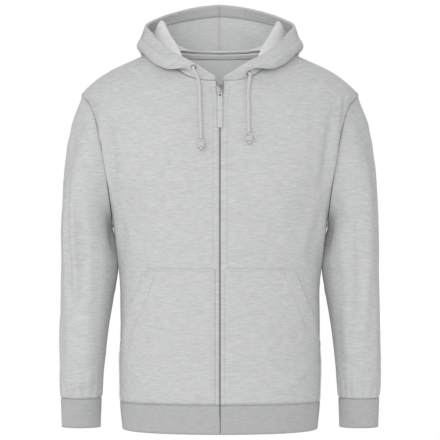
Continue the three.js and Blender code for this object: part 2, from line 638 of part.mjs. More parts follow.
// Solids joined from several shapes
function solidOf(geometry) {
  const bare = geometry.clone();
  bare.deleteAttribute("normal");
  bare.deleteAttribute("uv");
  const merged = mergeVertices(bare.index ? bare.toNonIndexed() : bare, 1e-4);
  return new wasm.Manifold(new wasm.Mesh({
    numProp: 3,
    vertProperties: new Float32Array(merged.attributes.position.array),
    triVerts: new Uint32Array(merged.index.array),
  }));
}
function geometryOf(solid) {
  const { vertProperties, triVerts } = solid.getMesh();
  const geometry = new THREE.BufferGeometry();
  geometry.setAttribute("position", new THREE.Float32BufferAttribute(vertProperties, 3));
  geometry.setIndex(Array.from(triVerts));
  return geometry;
}
const block = (width, depth, height, x, y, z) =>
  new THREE.BoxGeometry(width, depth, height).translate(x, y, z);
const joined = (shapes) =>
  geometryOf(shapes.map(solidOf).reduce((whole, shape) => whole.add(shape)));

// Plate with rounded corners in the XZ plane, from y = 0 towards +Y
function plate(topWidth, bottomWidth, height, thick, corner, segments = 4) {
  const shape = new THREE.Shape();
  const top = height / 2;
  shape.moveTo(-topWidth / 2 + corner, top);
  shape.lineTo(topWidth / 2 - corner, top);
  shape.quadraticCurveTo(topWidth / 2, top, topWidth / 2, top - corner);
  shape.lineTo(bottomWidth / 2, -top + corner);
  shape.quadraticCurveTo(bottomWidth / 2, -top, bottomWidth / 2 - corner, -top);
  shape.lineTo(-bottomWidth / 2 + corner, -top);
  shape.quadraticCurveTo(-bottomWidth / 2, -top, -bottomWidth / 2, -top + corner);
  shape.lineTo(-topWidth / 2, top - corner);
  shape.quadraticCurveTo(-topWidth / 2, top, -topWidth / 2 + corner, top);
  const options = { depth: thick, bevelEnabled: false, curveSegments: segments };
  return new THREE.ExtrudeGeometry(shape, options).rotateX(Math.PI / 2).translate(0, thick, 0);
}

// Slider: a front plate over the parting of the two edges, a wedge between them, a back plate
// behind the tapes, and a bridge that holds the pull's bar. It is drawn on a level zip and leaned
// to the slope of the chest.
const zipY = (z) => {
  const column = frontGrid.map((row) => row[0]);
  const lower = column.findIndex((p) => p.z < z);
  const share = (z - column[lower - 1].z) / (column[lower].z - column[lower - 1].z);
  return THREE.MathUtils.lerp(column[lower - 1].y, column[lower].y, share);
};
const sliderLean = -Math.atan2(
  zipY(SLIDER.z + SLIDER.height / 2) - zipY(SLIDER.z - SLIDER.height / 2), SLIDER.height,
);
const slider = new THREE.Group();
slider.position.set(0, zipY(SLIDER.z), SLIDER.z);
slider.rotation.x = sliderLean;
garment.add(slider);

const plateFace = -SLIDER.lift - SLIDER.plate;
const bridgeInside = plateFace - BRIDGE.clear;
const footZ = (BRIDGE.length - BRIDGE.foot) / 2;
const footDepth = BRIDGE.clear + BRIDGE.thick + SLIDER.plate / 2;
const footY = plateFace + SLIDER.plate / 2 - footDepth / 2;
const sliderGeometry = joined([
  plate(SLIDER.topWidth, SLIDER.bottomWidth, SLIDER.height, SLIDER.plate, SLIDER.corner)
    .translate(0, plateFace, 0),
  block(WEDGE.width, WEDGE.end - WEDGE.start, WEDGE.height, 0, (WEDGE.start + WEDGE.end) / 2, WEDGE.z),
  plate(SLIDER.topWidth, SLIDER.bottomWidth, SLIDER.height, BACK_PLATE.thick, SLIDER.corner)
    .translate(0, BACK_PLATE.start, 0),
  block(BRIDGE.width, BRIDGE.thick, BRIDGE.length, 0, bridgeInside - BRIDGE.thick / 2, 0),
  block(BRIDGE.width, footDepth, BRIDGE.foot, 0, footY, footZ),
  block(BRIDGE.width, footDepth, BRIDGE.foot, 0, footY, -footZ),
]);
const sliderMesh = addMesh("zip_slider", sliderGeometry, METAL);
slider.add(sliderMesh);

// Pull: a bar under the bridge, two legs beside it, and a long flat tab that lies on the chest.
// Its lean is the smallest that keeps its whole length clear of the cloth.
const barPlace = vec(0, plateFace - BRIDGE.clear / 2, -PULL.barDrop);
const pullAxis = barPlace.applyEuler(slider.rotation).add(slider.position);
let pullLean = 0;
for (let down = PULL.start; down <= PULL.length; down += PULL_CLEAR.step) {
  const clearY = zipY(pullAxis.z - down) - PULL.thick / 2 - PULL_CLEAR.gap;
  pullLean = Math.max(pullLean, Math.atan2(pullAxis.y - clearY, down));
}
const legX = BRIDGE.width / 2 + PULL.legGap + PULL.leg / 2;
const barLength = 2 * (legX + PULL.leg / 2 - PULL.barInset);
const tabHeight = PULL.length - PULL.start;
const pullGeometry = joined([
  new THREE.CylinderGeometry(PULL.bar / 2, PULL.bar / 2, barLength, 12).rotateZ(Math.PI / 2),
  block(PULL.leg, PULL.thick, PULL.start + 1, legX, 0, -(PULL.start + 1) / 2),
  block(PULL.leg, PULL.thick, PULL.start + 1, -legX, 0, -(PULL.start + 1) / 2),
  plate(PULL.width, PULL.width, tabHeight, PULL.thick, PULL.corner)
    .translate(0, -PULL.thick / 2, -PULL.start - tabHeight / 2),
]);
const pull = addMesh("zip_pull", pullGeometry, CLOTH);
pull.position.copy(pullAxis);
pull.rotation.x = -pullLean;

// Eyelets, drawcords and knots
function eyeletGeometry() {
  const half = EYELET.thick / 2;
  const middle = (EYELET.outer + EYELET.bore) / 2;
  const profile = [
    [EYELET.bore, -half], [EYELET.outer, -half], [EYELET.outer, -half / 3], [middle, half],
    [EYELET.bore, half / 3], [EYELET.bore, -half],
  ].map(([radius, height]) => new THREE.Vector2(radius, height));
  return new THREE.LatheGeometry(profile, 16);
}
function knotGeometry() {
  const profile = KNOT_PROFILE.map(({ radius, z }) => new THREE.Vector2(radius, z));
  return new THREE.LatheGeometry(profile, 12).rotateX(Math.PI / 2).scale(1, KNOT.halfDepth / KNOT.halfWidth, 1);
}
DRAWCORDS.forEach(({ side, eyelet, route, tip }) => {
  const hood = side === "left" ? hoodLeft : hoodRight;
  const seat = laidOn(hood, eyelet.row, eyelet.column, 0);
  const normal = laidOn(hood, eyelet.row, eyelet.column, 1).sub(seat).normalize();
  const ringMesh = addMesh(`eyelet_${side}`, eyeletGeometry(), METAL);
  ringMesh.position.copy(seat).addScaledVector(normal, EYELET.lift + EYELET.thick / 2);
  ringMesh.quaternion.setFromUnitVectors(vec(0, 1, 0), normal);

  const path = new THREE.CatmullRomCurve3(route.map((p) => vec(...p)), false, "centripetal");
  const section = new THREE.Shape(
    Array.from({ length: CORD.sides }, (_, i) => {
      const angle = (2 * Math.PI * i) / CORD.sides;
      return new THREE.Vector2(Math.cos(angle), Math.sin(angle)).multiplyScalar(CORD.diameter / 2);
    }),
  );
  const tube = new THREE.ExtrudeGeometry(section, { steps: CORD.steps, extrudePath: path });
  addMesh(`drawcord_${side}`, tube, CLOTH);

  const knot = addMesh(`knot_${side}`, knotGeometry(), CLOTH);
  knot.position.set(...tip);
  knot.rotation.x = THREE.MathUtils.degToRad(KNOT.lean);
});

export default garment;
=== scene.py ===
import math

import bmesh
import bpy
import numpy as np
from mathutils import Matrix, Vector, noise
from mathutils.bvhtree import BVHTree


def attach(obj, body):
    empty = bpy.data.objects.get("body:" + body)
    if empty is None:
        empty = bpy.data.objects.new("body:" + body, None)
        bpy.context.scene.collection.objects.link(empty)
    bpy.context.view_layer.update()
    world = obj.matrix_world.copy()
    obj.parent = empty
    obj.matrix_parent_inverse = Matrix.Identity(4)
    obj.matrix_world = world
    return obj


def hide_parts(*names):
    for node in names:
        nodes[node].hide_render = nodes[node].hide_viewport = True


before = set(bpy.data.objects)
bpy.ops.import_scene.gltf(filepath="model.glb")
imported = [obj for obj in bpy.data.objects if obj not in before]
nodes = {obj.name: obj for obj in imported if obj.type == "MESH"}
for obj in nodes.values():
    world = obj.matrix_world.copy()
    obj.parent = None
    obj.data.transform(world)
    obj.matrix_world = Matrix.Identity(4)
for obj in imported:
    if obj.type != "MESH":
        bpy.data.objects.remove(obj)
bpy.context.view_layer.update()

collection = bpy.context.scene.collection

# Camera, straight in front of the garment at the height of its middle. Large soft lights stand in
# front, at both sides, behind and above, and all round is plain white that also fills the shadows.
CAMERA_DISTANCE = 3.5
GARMENT_MIDDLE = -0.3046
LENS = 152.3
SENSOR_WIDTH = 36
WHITE = (1, 1, 1, 1)
ROOM_LIGHT = 0.46
LIGHTS_AIM = Vector((0, 0, -0.3))
camera_data = bpy.data.cameras.new("camera")
camera_data.lens = LENS
camera_data.sensor_width = SENSOR_WIDTH
camera = bpy.data.objects.new("camera", camera_data)
camera.location = (0, -CAMERA_DISTANCE, GARMENT_MIDDLE)
camera.rotation_euler = (math.pi / 2, 0, 0)
collection.objects.link(camera)
bpy.context.scene.camera = camera
bpy.context.scene.view_settings.view_transform = "Standard"

world = bpy.data.worlds.new("studio")
bpy.context.scene.world = world
world.use_nodes = True
sky = world.node_tree
rays = sky.nodes.new("ShaderNodeLightPath")
backdrop = sky.nodes.new("ShaderNodeBackground")
backdrop.inputs["Strength"].default_value = 1.0
backdrop.inputs["Color"].default_value = WHITE
room = sky.nodes["Background"]
room.inputs["Color"].default_value = WHITE
room.inputs["Strength"].default_value = ROOM_LIGHT
choice = sky.nodes.new("ShaderNodeMixShader")
sky.links.new(rays.outputs["Is Camera Ray"], choice.inputs[0])
sky.links.new(room.outputs[0], choice.inputs[1])
sky.links.new(backdrop.outputs[0], choice.inputs[2])
sky.links.new(choice.outputs[0], sky.nodes["World Output"].inputs["Surface"])

for name, place, power, size in (
    ("key", (-1.6, -2.2, 1.5), 12, 1.2),
    ("fill", (1.9, -2.2, 0.8), 5, 1.5),
    ("left_side", (-3.0, -1.0, -0.2), 15, 2.0),
    ("right_side", (3.0, -1.0, -0.2), 9, 2.0),
    ("rear", (0.5, 3.0, 1.2), 32, 2.0),
    ("front", (-0.3, -3.4, 0.4), 36, 1.8),
    ("top", (0.1, 0.3, 2.2), 4, 1.2),
):
    light_data = bpy.data.lights.new(name, "AREA")
    light_data.energy = power
    light_data.size = size
    light = bpy.data.objects.new(name, light_data)
    light.location = place
    light.rotation_euler = (LIGHTS_AIM - Vector(place)).to_track_quat("-Z", "Y").to_euler()
    collection.objects.link(light)


# Floor: one wide pale board, well below the hem. Its finish, like every finish in this file, is
# written as sums on the sockets of shader nodes.
FLOOR_CORNERS = [(-2, -2, -1.25), (2, -2, -1.25), (2, 2, -1.25), (-2, 2, -1.25)]
floor_mesh = bpy.data.meshes.new("floor")
floor_mesh.from_pydata(FLOOR_CORNERS, [], [(0, 1, 2, 3)])
floor = bpy.data.objects.new("floor", floor_mesh)
collection.objects.link(floor)


class Socket:
    def __init__(self, finish, socket):
        self.finish = finish
        self.socket = socket

    def maths(self, operation, *values):
        return self.finish.add("ShaderNodeMath", {"operation": operation}, dict(enumerate(values)))

    def __add__(self, other):
        return self.maths("ADD", self, other)

    def __sub__(self, other):
        return self.maths("SUBTRACT", self, other)

    def __rsub__(self, other):
        return self.maths("SUBTRACT", other, self)

    def __mul__(self, other):
        return self.maths("MULTIPLY", self, other)

    __radd__ = __add__
    __rmul__ = __mul__


class Finish:
    def __init__(self, name, roughness, metallic=0.0, sheen=0.0):
        self.material = bpy.data.materials.new(name)
        self.material.use_nodes = True
        self.tree = self.material.node_tree
        self.shader = self.tree.nodes["Principled BSDF"]
        self.shader.inputs["Roughness"].default_value = roughness
        self.shader.inputs["Metallic"].default_value = metallic
        self.shader.inputs["Sheen Weight"].default_value = sheen
        self.shader.inputs["Sheen Roughness"].default_value = 0.5

    def add(self, kind, settings, values, output=0):
        node = self.tree.nodes.new(kind)
        for key, value in settings.items():
            if key == "stops":
                for stop, (place, colour) in zip(node.color_ramp.elements, value):
                    stop.position = place
                    stop.color = (*colour, 1)
            else:
                setattr(node, key, value)
        for place, value in values.items():
            if isinstance(value, Socket):
                self.tree.links.new(value.socket, node.inputs[place])
            else:
                node.inputs[place].default_value = value
        return Socket(self, node.outputs[output])

    def fibres(self, scale, stretch=(1, 1, 1), detail=2.0):
        """Noise as fine as scale, drawn out along each axis whose stretch is below 1."""
        place = self.add("ShaderNodeTexCoord", {}, {}, "Object")
        spot = self.add("ShaderNodeMapping", {}, {"Vector": place, "Scale": stretch})
        values = {"Vector": spot, "Scale": scale, "Detail": detail}
        return self.add("ShaderNodeTexNoise", {}, values, "Fac")

    def between(self, share, low, high):
        stops = {"stops": [(0, low), (1, high)]}
        return self.add("ShaderNodeValToRGB", stops, {"Fac": share}, "Color")

    def feed(self, name, socket):
        self.tree.links.new(socket.socket, self.shader.inputs[name])

    def bump(self, height, distance, strength):
        values = {"Height": height, "Distance": distance, "Strength": strength}
        self.feed("Normal", self.add("ShaderNodeBump", {}, values, "Normal"))


pale = Finish("pale_floor", roughness=0.9)
pale.shader.inputs["Base Color"].default_value = (0.86, 0.86, 0.86, 1)
floor_mesh.materials.append(pale.material)


# Drawcord: a round braided cotton cord through the hood's edge channel. Each free end leaves a
# pressed metal eyelet, lies on the chest and ends in a knot that is pulled tight, with a short
# tail. Routes, knots and eyelets are placed in millimetres.
CORD_DIAMETER = 0.0056
KNOT_DIAMETER = 0.0047
CORD_STEP = 0.0007
KNOT_LEAN = math.radians(-14)
KNOT_LEAD_IN = [(0, 0, 10.6), (0.3, 0.2, 8.6), (2.6, -1.4, 7.2)]
KNOT_TAIL = [(0.6, 0.4, -6.4), (0.4, 0.2, -8.4), (0.5, 0, -10.2)]
EYELET_RADIUS = 0.0044
EYELET_WIRE = 0.001
EYELET_FLATTENING = 0.72
SAME_SPOT = 1e-6
DRAWCORDS = {
    "right": {
        "route": [
            (-48, -101.7, -25.4), (-48.6, -104.7, -25.9), (-48.4, -107.2, -28.4),
            (-46.4, -108.3, -33.6), (-42.6, -107.6, -40), (-39.8, -106.2, -48),
            (-38, -106.2, -57), (-37.1, -108.9, -68), (-36.6, -112.9, -82), (-36.2, -117.4, -98),
            (-35.7, -121.4, -114), (-35.2, -125.2, -130), (-34.8, -128, -141),
            (-34.5, -131.2, -150), (-34.3, -134.4, -157.8),
        ],
        "knot": (-34.2, -137, -167.9),
        "eyelet": (-48.14, -102.30, -25.47),
        "eyelet_axis": (-0.178, -0.968, -0.180),
    },
    "left": {
        "route": [
            (52.4, -95.4, -35.7), (54.1, -97.6, -37), (54.9, -99.9, -40.2), (54.3, -101.7, -45.6),
            (53, -102.9, -53), (52, -105.5, -63), (51.2, -109.4, -75), (51.4, -113.4, -88),
            (51.7, -117.4, -102), (51.9, -121.1, -116), (52.2, -124.6, -130), (52.4, -127.6, -139),
            (52.6, -130.6, -146.8),
        ],
        "knot": (52.8, -133.2, -156.9),
        "eyelet": (52.75, -95.81, -35.94),
        "eyelet_axis": (0.557, -0.714, -0.425),
    },
}

cord_finish = Finish("drawcord", roughness=0.85, sheen=0.1)
cord_yarn = cord_finish.fibres(900, detail=3.0)
cord_colour = cord_finish.between(cord_yarn, (0.44, 0.445, 0.44), (0.76, 0.76, 0.75))
cord_finish.feed("Base Color", cord_colour)
cord_finish.bump(cord_yarn, 0.0003, 0.4)

metal = Finish("satin_nickel", roughness=0.34, metallic=0.9)
metal_wear = metal.fibres(160, detail=3.0)
metal.feed("Base Color", metal.between(metal_wear, (0.29, 0.295, 0.30), (0.47, 0.475, 0.48)))
metal.bump(metal.fibres(1500, (1, 1, 0.2)), 0.0001, 0.3)


def add_piece(name, mesh, *replaced, body="garment", slot=None):
    """Puts a finished mesh in the scene, in place of the nodes that it replaces."""
    mesh.name = name
    piece = bpy.data.objects.new(name, mesh)
    collection.objects.link(piece)
    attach(piece, body)
    if replaced:
        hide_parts(*replaced)
    return piece


def reach_along(points):
    """How far along a line each of its points lies."""
    steps = np.linalg.norm(np.diff(points, axis=0), axis=1)
    return np.concatenate([[0], np.cumsum(steps)])


def at_marks(marks, reach, values):
    return np.stack([np.interp(marks, reach, values[:, axis]) for axis in range(3)], axis=1)


def even_path(route, step, fineness=24):
    """Points at even steps along a smooth line through the route."""
    route = [np.array(point, float) for point in route]
    ends = [2 * route[0] - route[1], *route, 2 * route[-1] - route[-2]]
    fine = []
    for a, b, c, d in zip(ends, ends[1:], ends[2:], ends[3:]):
        for t in np.linspace(0, 1, fineness, endpoint=False):
            bend = (2 * a - 5 * b + 4 * c - d) * t * t + (3 * b - a - 3 * c + d) * t ** 3
            fine.append(0.5 * (2 * b + (c - a) * t + bend))
    fine = np.array([*fine, route[-1]])
    reach = reach_along(fine)
    marks = np.linspace(0, reach[-1], max(int(reach[-1] / step), 2) + 1)
    return at_marks(marks, reach, fine)


def braided_cord(path, diameter, relief=0.0002, strands=4, lay_length=0.0065):
    """A tube along a path, with two crossing sets of strands raised on it."""
    curve = bpy.data.curves.new("cord", "CURVE")
    curve.dimensions = "3D"
    curve.bevel_depth = diameter / 2
    curve.bevel_resolution = 12
    curve.use_fill_caps = True
    spline = curve.splines.new("POLY")
    spline.points.add(len(path) - 1)
    for point, place in zip(spline.points, path):
        point.co = (*place, 1)
    draft = bpy.data.objects.new("cord", curve)
    collection.objects.link(draft)
    graph = bpy.context.evaluated_depsgraph_get()
    mesh = bpy.data.meshes.new_from_object(draft.evaluated_get(graph))
    bpy.data.objects.remove(draft)
    places = np.array([vert.co[:] for vert in mesh.vertices])
    sides = len(places) // len(path)
    ring = np.arange(len(places)) // sides
    angle = 2 * np.pi * (np.arange(len(places)) % sides) / sides
    step = float(np.linalg.norm(path[1] - path[0]))
    turn = 2 * np.pi * ring * step / lay_length
    weave = np.maximum(np.cos(strands * angle + turn), np.cos(strands * angle - turn))
    outward = places - path[np.minimum(ring, len(path) - 1)]
    outward /= np.linalg.norm(outward, axis=1)[:, None]
    mesh.vertices.foreach_set("co", (places + outward * (relief * weave)[:, None]).ravel())
    mesh.polygons.foreach_set("use_smooth", [True] * len(mesh.polygons))
    mesh.materials.append(cord_finish.material)
    return mesh


def knot_route(tip, points=19, points_a_turn=8, start=-0.9):
    """In from above, two and a quarter slanted turns round itself, and out below as the tail."""
    half_width, half_depth, slant, top, fall = 4.9, 3.2, 1.3, 5.4, 0.52
    turns = []
    for step in range(points):
        angle = start + step * 2 * math.pi / points_a_turn
        height = top - fall * step + slant * math.cos(angle)
        turns.append((half_width * math.cos(angle), half_depth * math.sin(angle), height))
    lean = Matrix.Rotation(KNOT_LEAN, 3, "X")
    knot = [*KNOT_LEAD_IN, *turns, *KNOT_TAIL]
    return [(Vector(tip) + lean @ Vector(turn)) / 1000 for turn in knot]


def eyelet_mesh(centre, axis):
    """A rolled metal ring, spun from its section."""
    shape = bmesh.new()
    section = Vector((EYELET_RADIUS, 0, 0))
    bmesh.ops.create_circle(
        shape, segments=10, radius=EYELET_WIRE, matrix=Matrix.Translation(section),
    )
    upright = Matrix.Rotation(math.pi / 2, 3, "X")
    bmesh.ops.rotate(shape, verts=shape.verts, cent=section, matrix=upright)
    bmesh.ops.scale(shape, verts=shape.verts, vec=(1, 1, EYELET_FLATTENING))
    bmesh.ops.spin(
        shape, geom=shape.verts[:] + shape.edges[:], axis=(0, 0, 1), cent=(0, 0, 0),
        angle=2 * math.pi, steps=36, use_merge=True,
    )
    bmesh.ops.remove_doubles(shape, verts=shape.verts, dist=SAME_SPOT)
    turn = Vector((0, 0, 1)).rotation_difference(Vector(axis)).to_matrix().to_4x4()
    place = Matrix.Translation(Vector(centre) / 1000) @ turn
    bmesh.ops.transform(shape, verts=shape.verts, matrix=place)
    bmesh.ops.recalc_face_normals(shape, faces=shape.faces)
    mesh = bpy.data.meshes.new("eyelet")
    shape.to_mesh(mesh)
    shape.free()
    mesh.polygons.foreach_set("use_smooth", [True] * len(mesh.polygons))
    mesh.materials.append(metal.material)
    return mesh


for side, drawcord in DRAWCORDS.items():
    route = [Vector(point) / 1000 for point in drawcord["route"]]
    path = even_path(route, CORD_STEP)
    knot_path = even_path(knot_route(drawcord["knot"]), CORD_STEP)
    knot_mesh = braided_cord(knot_path, KNOT_DIAMETER)
    knot = add_piece(f"knotted_end_{side}", knot_mesh, f"knot_{side}", slot="cord")
    cord_mesh = braided_cord(path, CORD_DIAMETER)
    cord = add_piece(f"cord_{side}", cord_mesh, f"drawcord_{side}", slot="cord")
    ring = eyelet_mesh(drawcord["eyelet"], drawcord["eyelet_axis"])
    add_piece(f"ring_{side}", ring, f"eyelet_{side}", slot="metal")


# Fronts: cut from heather fleece, smooth outside and brushed inside, each with half the neckline,
# its shoulder, armhole and side seam. Soft creases run down from the shoulder and armhole, and
# across above the hem. Every cut piece starts from one side of its plain wall, as these do.
SIDES = (("left", 1), ("right", -1))
WALL = 0.0018
SMOOTHING = 3
THROUGH_EDGE_SLACK = 4e-6
CORNER_REACH = 0.0012
WAVE = 0.0011
WAVE_SIZES = ((17, 1), (46, 0.4))
SEAM_DEPTH = 0.0006
BESIDE_SEAM_SHARE = 0.5
BESIDE_SEAM_DEPTH = 0.25 * SEAM_DEPTH
CREASE_END = 0.04
CREASE_FADE = 0.6
TROUGH_PLACE = 1.9
TROUGH_SHARE = 0.35
BODY_HALF_WIDTH = 0.2
BODY_HALF_DEPTH = 0.14
# The shoulder seam's outer end, the underarm, the neck point and the foot of the side seam, which
# stay sharp corners when a side is smoothed.
KEPT_CORNERS = [Vector((sign * x, y, z)) for _, sign in SIDES for x, y, z in (
    (0.261, 0.010, -0.066), (0.202, 0, -0.315), (0.105, 0.005, 0.022), (0.188, 0, -0.644),
)]
# A crease: its spots in x and z, how far it rises, and its half width.
FRONT_CREASES = {
    "left": [
        ([(0.222, -0.100), (0.214, -0.160), (0.200, -0.262)], 0.0042, 0.011),
        ([(0.206, -0.110), (0.196, -0.180), (0.186, -0.250)], -0.0030, 0.010),
        ([(0.190, -0.262), (0.158, -0.330), (0.150, -0.385)], 0.0024, 0.012),
        ([(0.194, -0.270), (0.190, -0.340), (0.186, -0.420)], 0.0034, 0.014),
        ([(0.233, -0.066), (0.229, -0.100), (0.222, -0.135)], -0.0024, 0.005),
        ([(0.176, -0.236), (0.140, -0.290), (0.110, -0.330)], -0.0018, 0.014),
        ([(0.060, -0.090), (0.120, -0.100), (0.180, -0.090)], 0.0014, 0.016),
        ([(0.030, -0.360), (0.090, -0.376), (0.150, -0.372)], 0.0012, 0.012),
        ([(0.176, -0.560), (0.130, -0.606), (0.090, -0.628)], 0.0022, 0.010),
        ([(0.150, -0.600), (0.110, -0.626), (0.060, -0.632)], -0.0016, 0.009),
    ],
    "right": [
        ([(-0.226, -0.104), (-0.216, -0.170), (-0.204, -0.262)], 0.0036, 0.011),
        ([(-0.208, -0.120), (-0.198, -0.180), (-0.190, -0.250)], -0.0026, 0.010),
        ([(-0.192, -0.268), (-0.164, -0.330), (-0.152, -0.400)], 0.0022, 0.012),
        ([(-0.194, -0.270), (-0.190, -0.340), (-0.186, -0.420)], 0.0034, 0.014),
        ([(-0.172, -0.246), (-0.132, -0.300), (-0.100, -0.330)], -0.0016, 0.014),
        ([(-0.060, -0.100), (-0.120, -0.108), (-0.180, -0.096)], 0.0014, 0.016),
        ([(-0.176, -0.566), (-0.136, -0.604), (-0.080, -0.630)], 0.0020, 0.010),
        ([(-0.140, -0.602), (-0.100, -0.628), (-0.050, -0.634)], -0.0014, 0.009),
    ],
}

# Fibres of the heather: how fine each kind is, and how far knitting draws it out level. MEAN is a
# noise's mean.
MEAN = 0.5
SHORT_FIBRES = {"scale": 950, "stretch": (0.25, 0.25, 1)}
LONG_FIBRES = {"scale": 470, "stretch": (0.15, 0.15, 1), "detail": 3.0}
DRAWN_FIBRES = {"scale": 260, "stretch": (0.16, 0.16, 1), "detail": 4.0}
CLOUDS = {"scale": 7}
NAP_FIBRES = {"scale": 1400, "stretch": (0.7, 0.7, 1)}
NAP_HEIGHT = 0.0005


def heather(name, light, dark, streak, nap):
    """Heather cloth: streak is how far single fibres stand off the ground colour."""
    finish = Finish(name, roughness=0.9, sheen=0.1)
    short = finish.fibres(**SHORT_FIBRES)
    long = finish.fibres(**LONG_FIBRES)
    cloud = finish.fibres(**CLOUDS)
    drawn = finish.fibres(**DRAWN_FIBRES)
    streaks = (short - MEAN) * 1.1 + (long - MEAN) * 2.0 + (drawn - MEAN) * 0.6
    mix = streaks * streak + (cloud - MEAN) * 0.1 + MEAN
    finish.feed("Base Color", finish.between(mix, dark, light))
    finish.bump(finish.fibres(**NAP_FIBRES) + short * 0.8, NAP_HEIGHT, nap)
    return finish.material


fleece = heather(
    "fleece", light=(0.70, 0.705, 0.705), dark=(0.47, 0.475, 0.475), streak=0.55, nap=0.4,
)
# The inside is coloured much lighter than the outside fleece: the extra lightness is painted light
# that lifts the shade inside the body, the sleeves and the neck.
brushed_inside_and_painted_light = heather(
    "brushed_inside_and_painted_light", light=(0.90, 0.905, 0.91), dark=(0.80, 0.805, 0.81), streak=0.5, nap=0.3,
)


def islands(shape):
    """The separate sheets of faces, the one with the most faces first."""
    left = dict.fromkeys(shape.faces)
    groups = []
    while left:
        group = [left.popitem()[0]]
        for face in group:
            for edge in face.edges:
                for other in edge.link_faces:
                    if other in left:
                        del left[other]
                        group.append(other)
        groups.append(group)
    return sorted(groups, key=len, reverse=True)


def one_side(name, wall, outermost, slack=THROUGH_EDGE_SLACK):
    """One side of a wall, without its rim: the side whose faces score higher on outermost."""
    def score(side):
        return sum(outermost(face.calc_center_median()) for face in side) / len(side)

    shape = bmesh.new()
    shape.from_mesh(nodes[name].data)
    bmesh.ops.remove_doubles(shape, verts=shape.verts, dist=SAME_SPOT)
    through = [edge for edge in shape.edges if abs(edge.calc_length() - wall) < slack]
    rim = dict.fromkeys(face for edge in through for face in edge.link_faces)
    bmesh.ops.delete(shape, geom=list(rim), context="FACES_ONLY")
    kept = set(max(islands(shape)[:2], key=score))
    other_side = [face for face in shape.faces if face not in kept]
    bmesh.ops.delete(shape, geom=other_side, context="FACES")
    loose = [vert for vert in shape.verts if not vert.link_faces]
    bmesh.ops.delete(shape, geom=loose, context="VERTS")
    bmesh.ops.join_triangles(
        shape, faces=shape.faces[:], angle_face_threshold=math.pi, angle_shape_threshold=math.pi,
    )
    return shape


def applied(mesh, *modifiers):
    """The mesh with modifiers applied, each a kind and its settings."""
    draft = bpy.data.objects.new("draft", mesh)
    collection.objects.link(draft)
    for kind, settings in modifiers:
        modifier = draft.modifiers.new(kind, kind)
        for key, value in settings.items():
            setattr(modifier, key, value)
    graph = bpy.context.evaluated_depsgraph_get()
    result = bpy.data.meshes.new_from_object(draft.evaluated_get(graph))
    bpy.data.objects.remove(draft)
    return result


def points_of(mesh, kind="vertices", field="co"):
    values = np.zeros(len(getattr(mesh, kind)) * 3)
    getattr(mesh, kind).foreach_get(field, values)
    return values.reshape(-1, 3)


def smooth_side(shape, levels=SMOOTHING, passes=2):
    """A smooth side that still passes through the points of the plain one."""
    crease = shape.verts.layers.float.new("crease_vert")
    for vert in shape.verts:
        to_corner = min((vert.co - corner).length for corner in KEPT_CORNERS)
        if vert.is_boundary and to_corner < CORNER_REACH:
            vert[crease] = 1
    plain = bpy.data.meshes.new("plain")
    shape.to_mesh(plain)
    shape.free()
    target = points_of(plain)
    settings = {"levels": levels, "render_levels": levels, "boundary_smooth": "PRESERVE_CORNERS"}
    for _ in range(passes):
        result = applied(plain, ("SUBSURF", settings))
        moved = points_of(plain) + target - points_of(result)[: len(target)]
        plain.vertices.foreach_set("co", moved.ravel())
    return applied(plain, ("SUBSURF", settings))


def border_edges(mesh):
    """The vertices on a mesh's border, and those one edge in from it."""
    shape = bmesh.new()
    shape.from_mesh(mesh)
    shape.verts.ensure_lookup_table()
    border = [vert.index for vert in shape.verts if vert.is_boundary]
    inner = sorted({
        edge.other_vert(shape.verts[i]).index
        for i in border for edge in shape.verts[i].link_edges if not edge.is_boundary
    } - set(border))
    shape.free()
    return border, inner


def crease_height(places, path, height, half_width):
    """A soft rounded ridge with a shallow trough on either side, along a path of points."""
    best = np.full(len(places), np.inf)
    share = np.zeros(len(places))
    reach = reach_along(np.array(path))
    for a, b, start, end in zip(path, path[1:], reach, reach[1:]):
        along = b - a
        t = np.clip(((places - a) @ along) / (along @ along), 0, 1)
        gap = np.linalg.norm(places - (a + t[:, None] * along), axis=1)
        nearer = gap < best
        best[nearer] = gap[nearer]
        share[nearer] = ((start + t * (end - start)) / reach[-1])[nearer]
    fade = np.sin(np.pi * np.clip(share, CREASE_END, 1 - CREASE_END)) ** CREASE_FADE
    ridge = np.exp(-((best / half_width) ** 2))
    troughs = np.exp(-(((best - TROUGH_PLACE * half_width) / half_width) ** 2))
    return height * fade * (ridge - TROUGH_SHARE * troughs)


def surface_of(mesh):
    spots = [vert.co for vert in mesh.vertices]
    return BVHTree.FromPolygons(spots, [face.vertices[:] for face in mesh.polygons])


def laid_line(tree, spots, ray=None, steps=6):
    """Points and normals where a line of spots meets a surface.

    A ray finds the surface for spots of two numbers, and spots of three take the nearest point."""
    line = [
        Vector(a).lerp(Vector(b), step / steps)
        for a, b in zip(spots, spots[1:]) for step in range(steps)
    ]
    hits = [
        tree.ray_cast(*ray(spot)) if len(spot) == 2 else tree.find_nearest(spot)
        for spot in [*line, Vector(spots[-1])]
    ]
    return [(place, normal) for place, normal, *_ in hits if place is not None]


def from_front(spot):
    return Vector((spot[0], -1, spot[1])), Vector((0, 1, 0))


def creased(mesh, creases, seed, ray=None):
    """Moves a side along its normals by its creases, its slow waves and its sewn borders."""
    tree = surface_of(mesh)
    places = points_of(mesh)
    normals = points_of(mesh, "vertices", "normal")
    height = np.zeros(len(places))
    for spots, rise, half_width in creases:
        path = [np.array(place) for place, _ in laid_line(tree, spots, ray)]
        if len(path) > 1:
            height += crease_height(places, path, rise, half_width)
    shift = Vector((seed, 0, 0))
    for size, share in WAVE_SIZES:
        height += [share * WAVE * noise.noise(Vector(place) * size + shift) for place in places]
    border, inner = border_edges(mesh)
    height[border] = -SEAM_DEPTH
    height[inner] = height[inner] * BESIDE_SEAM_SHARE - BESIDE_SEAM_DEPTH
    mesh.vertices.foreach_set("co", (places + normals * height[:, None]).ravel())
    mesh.update()


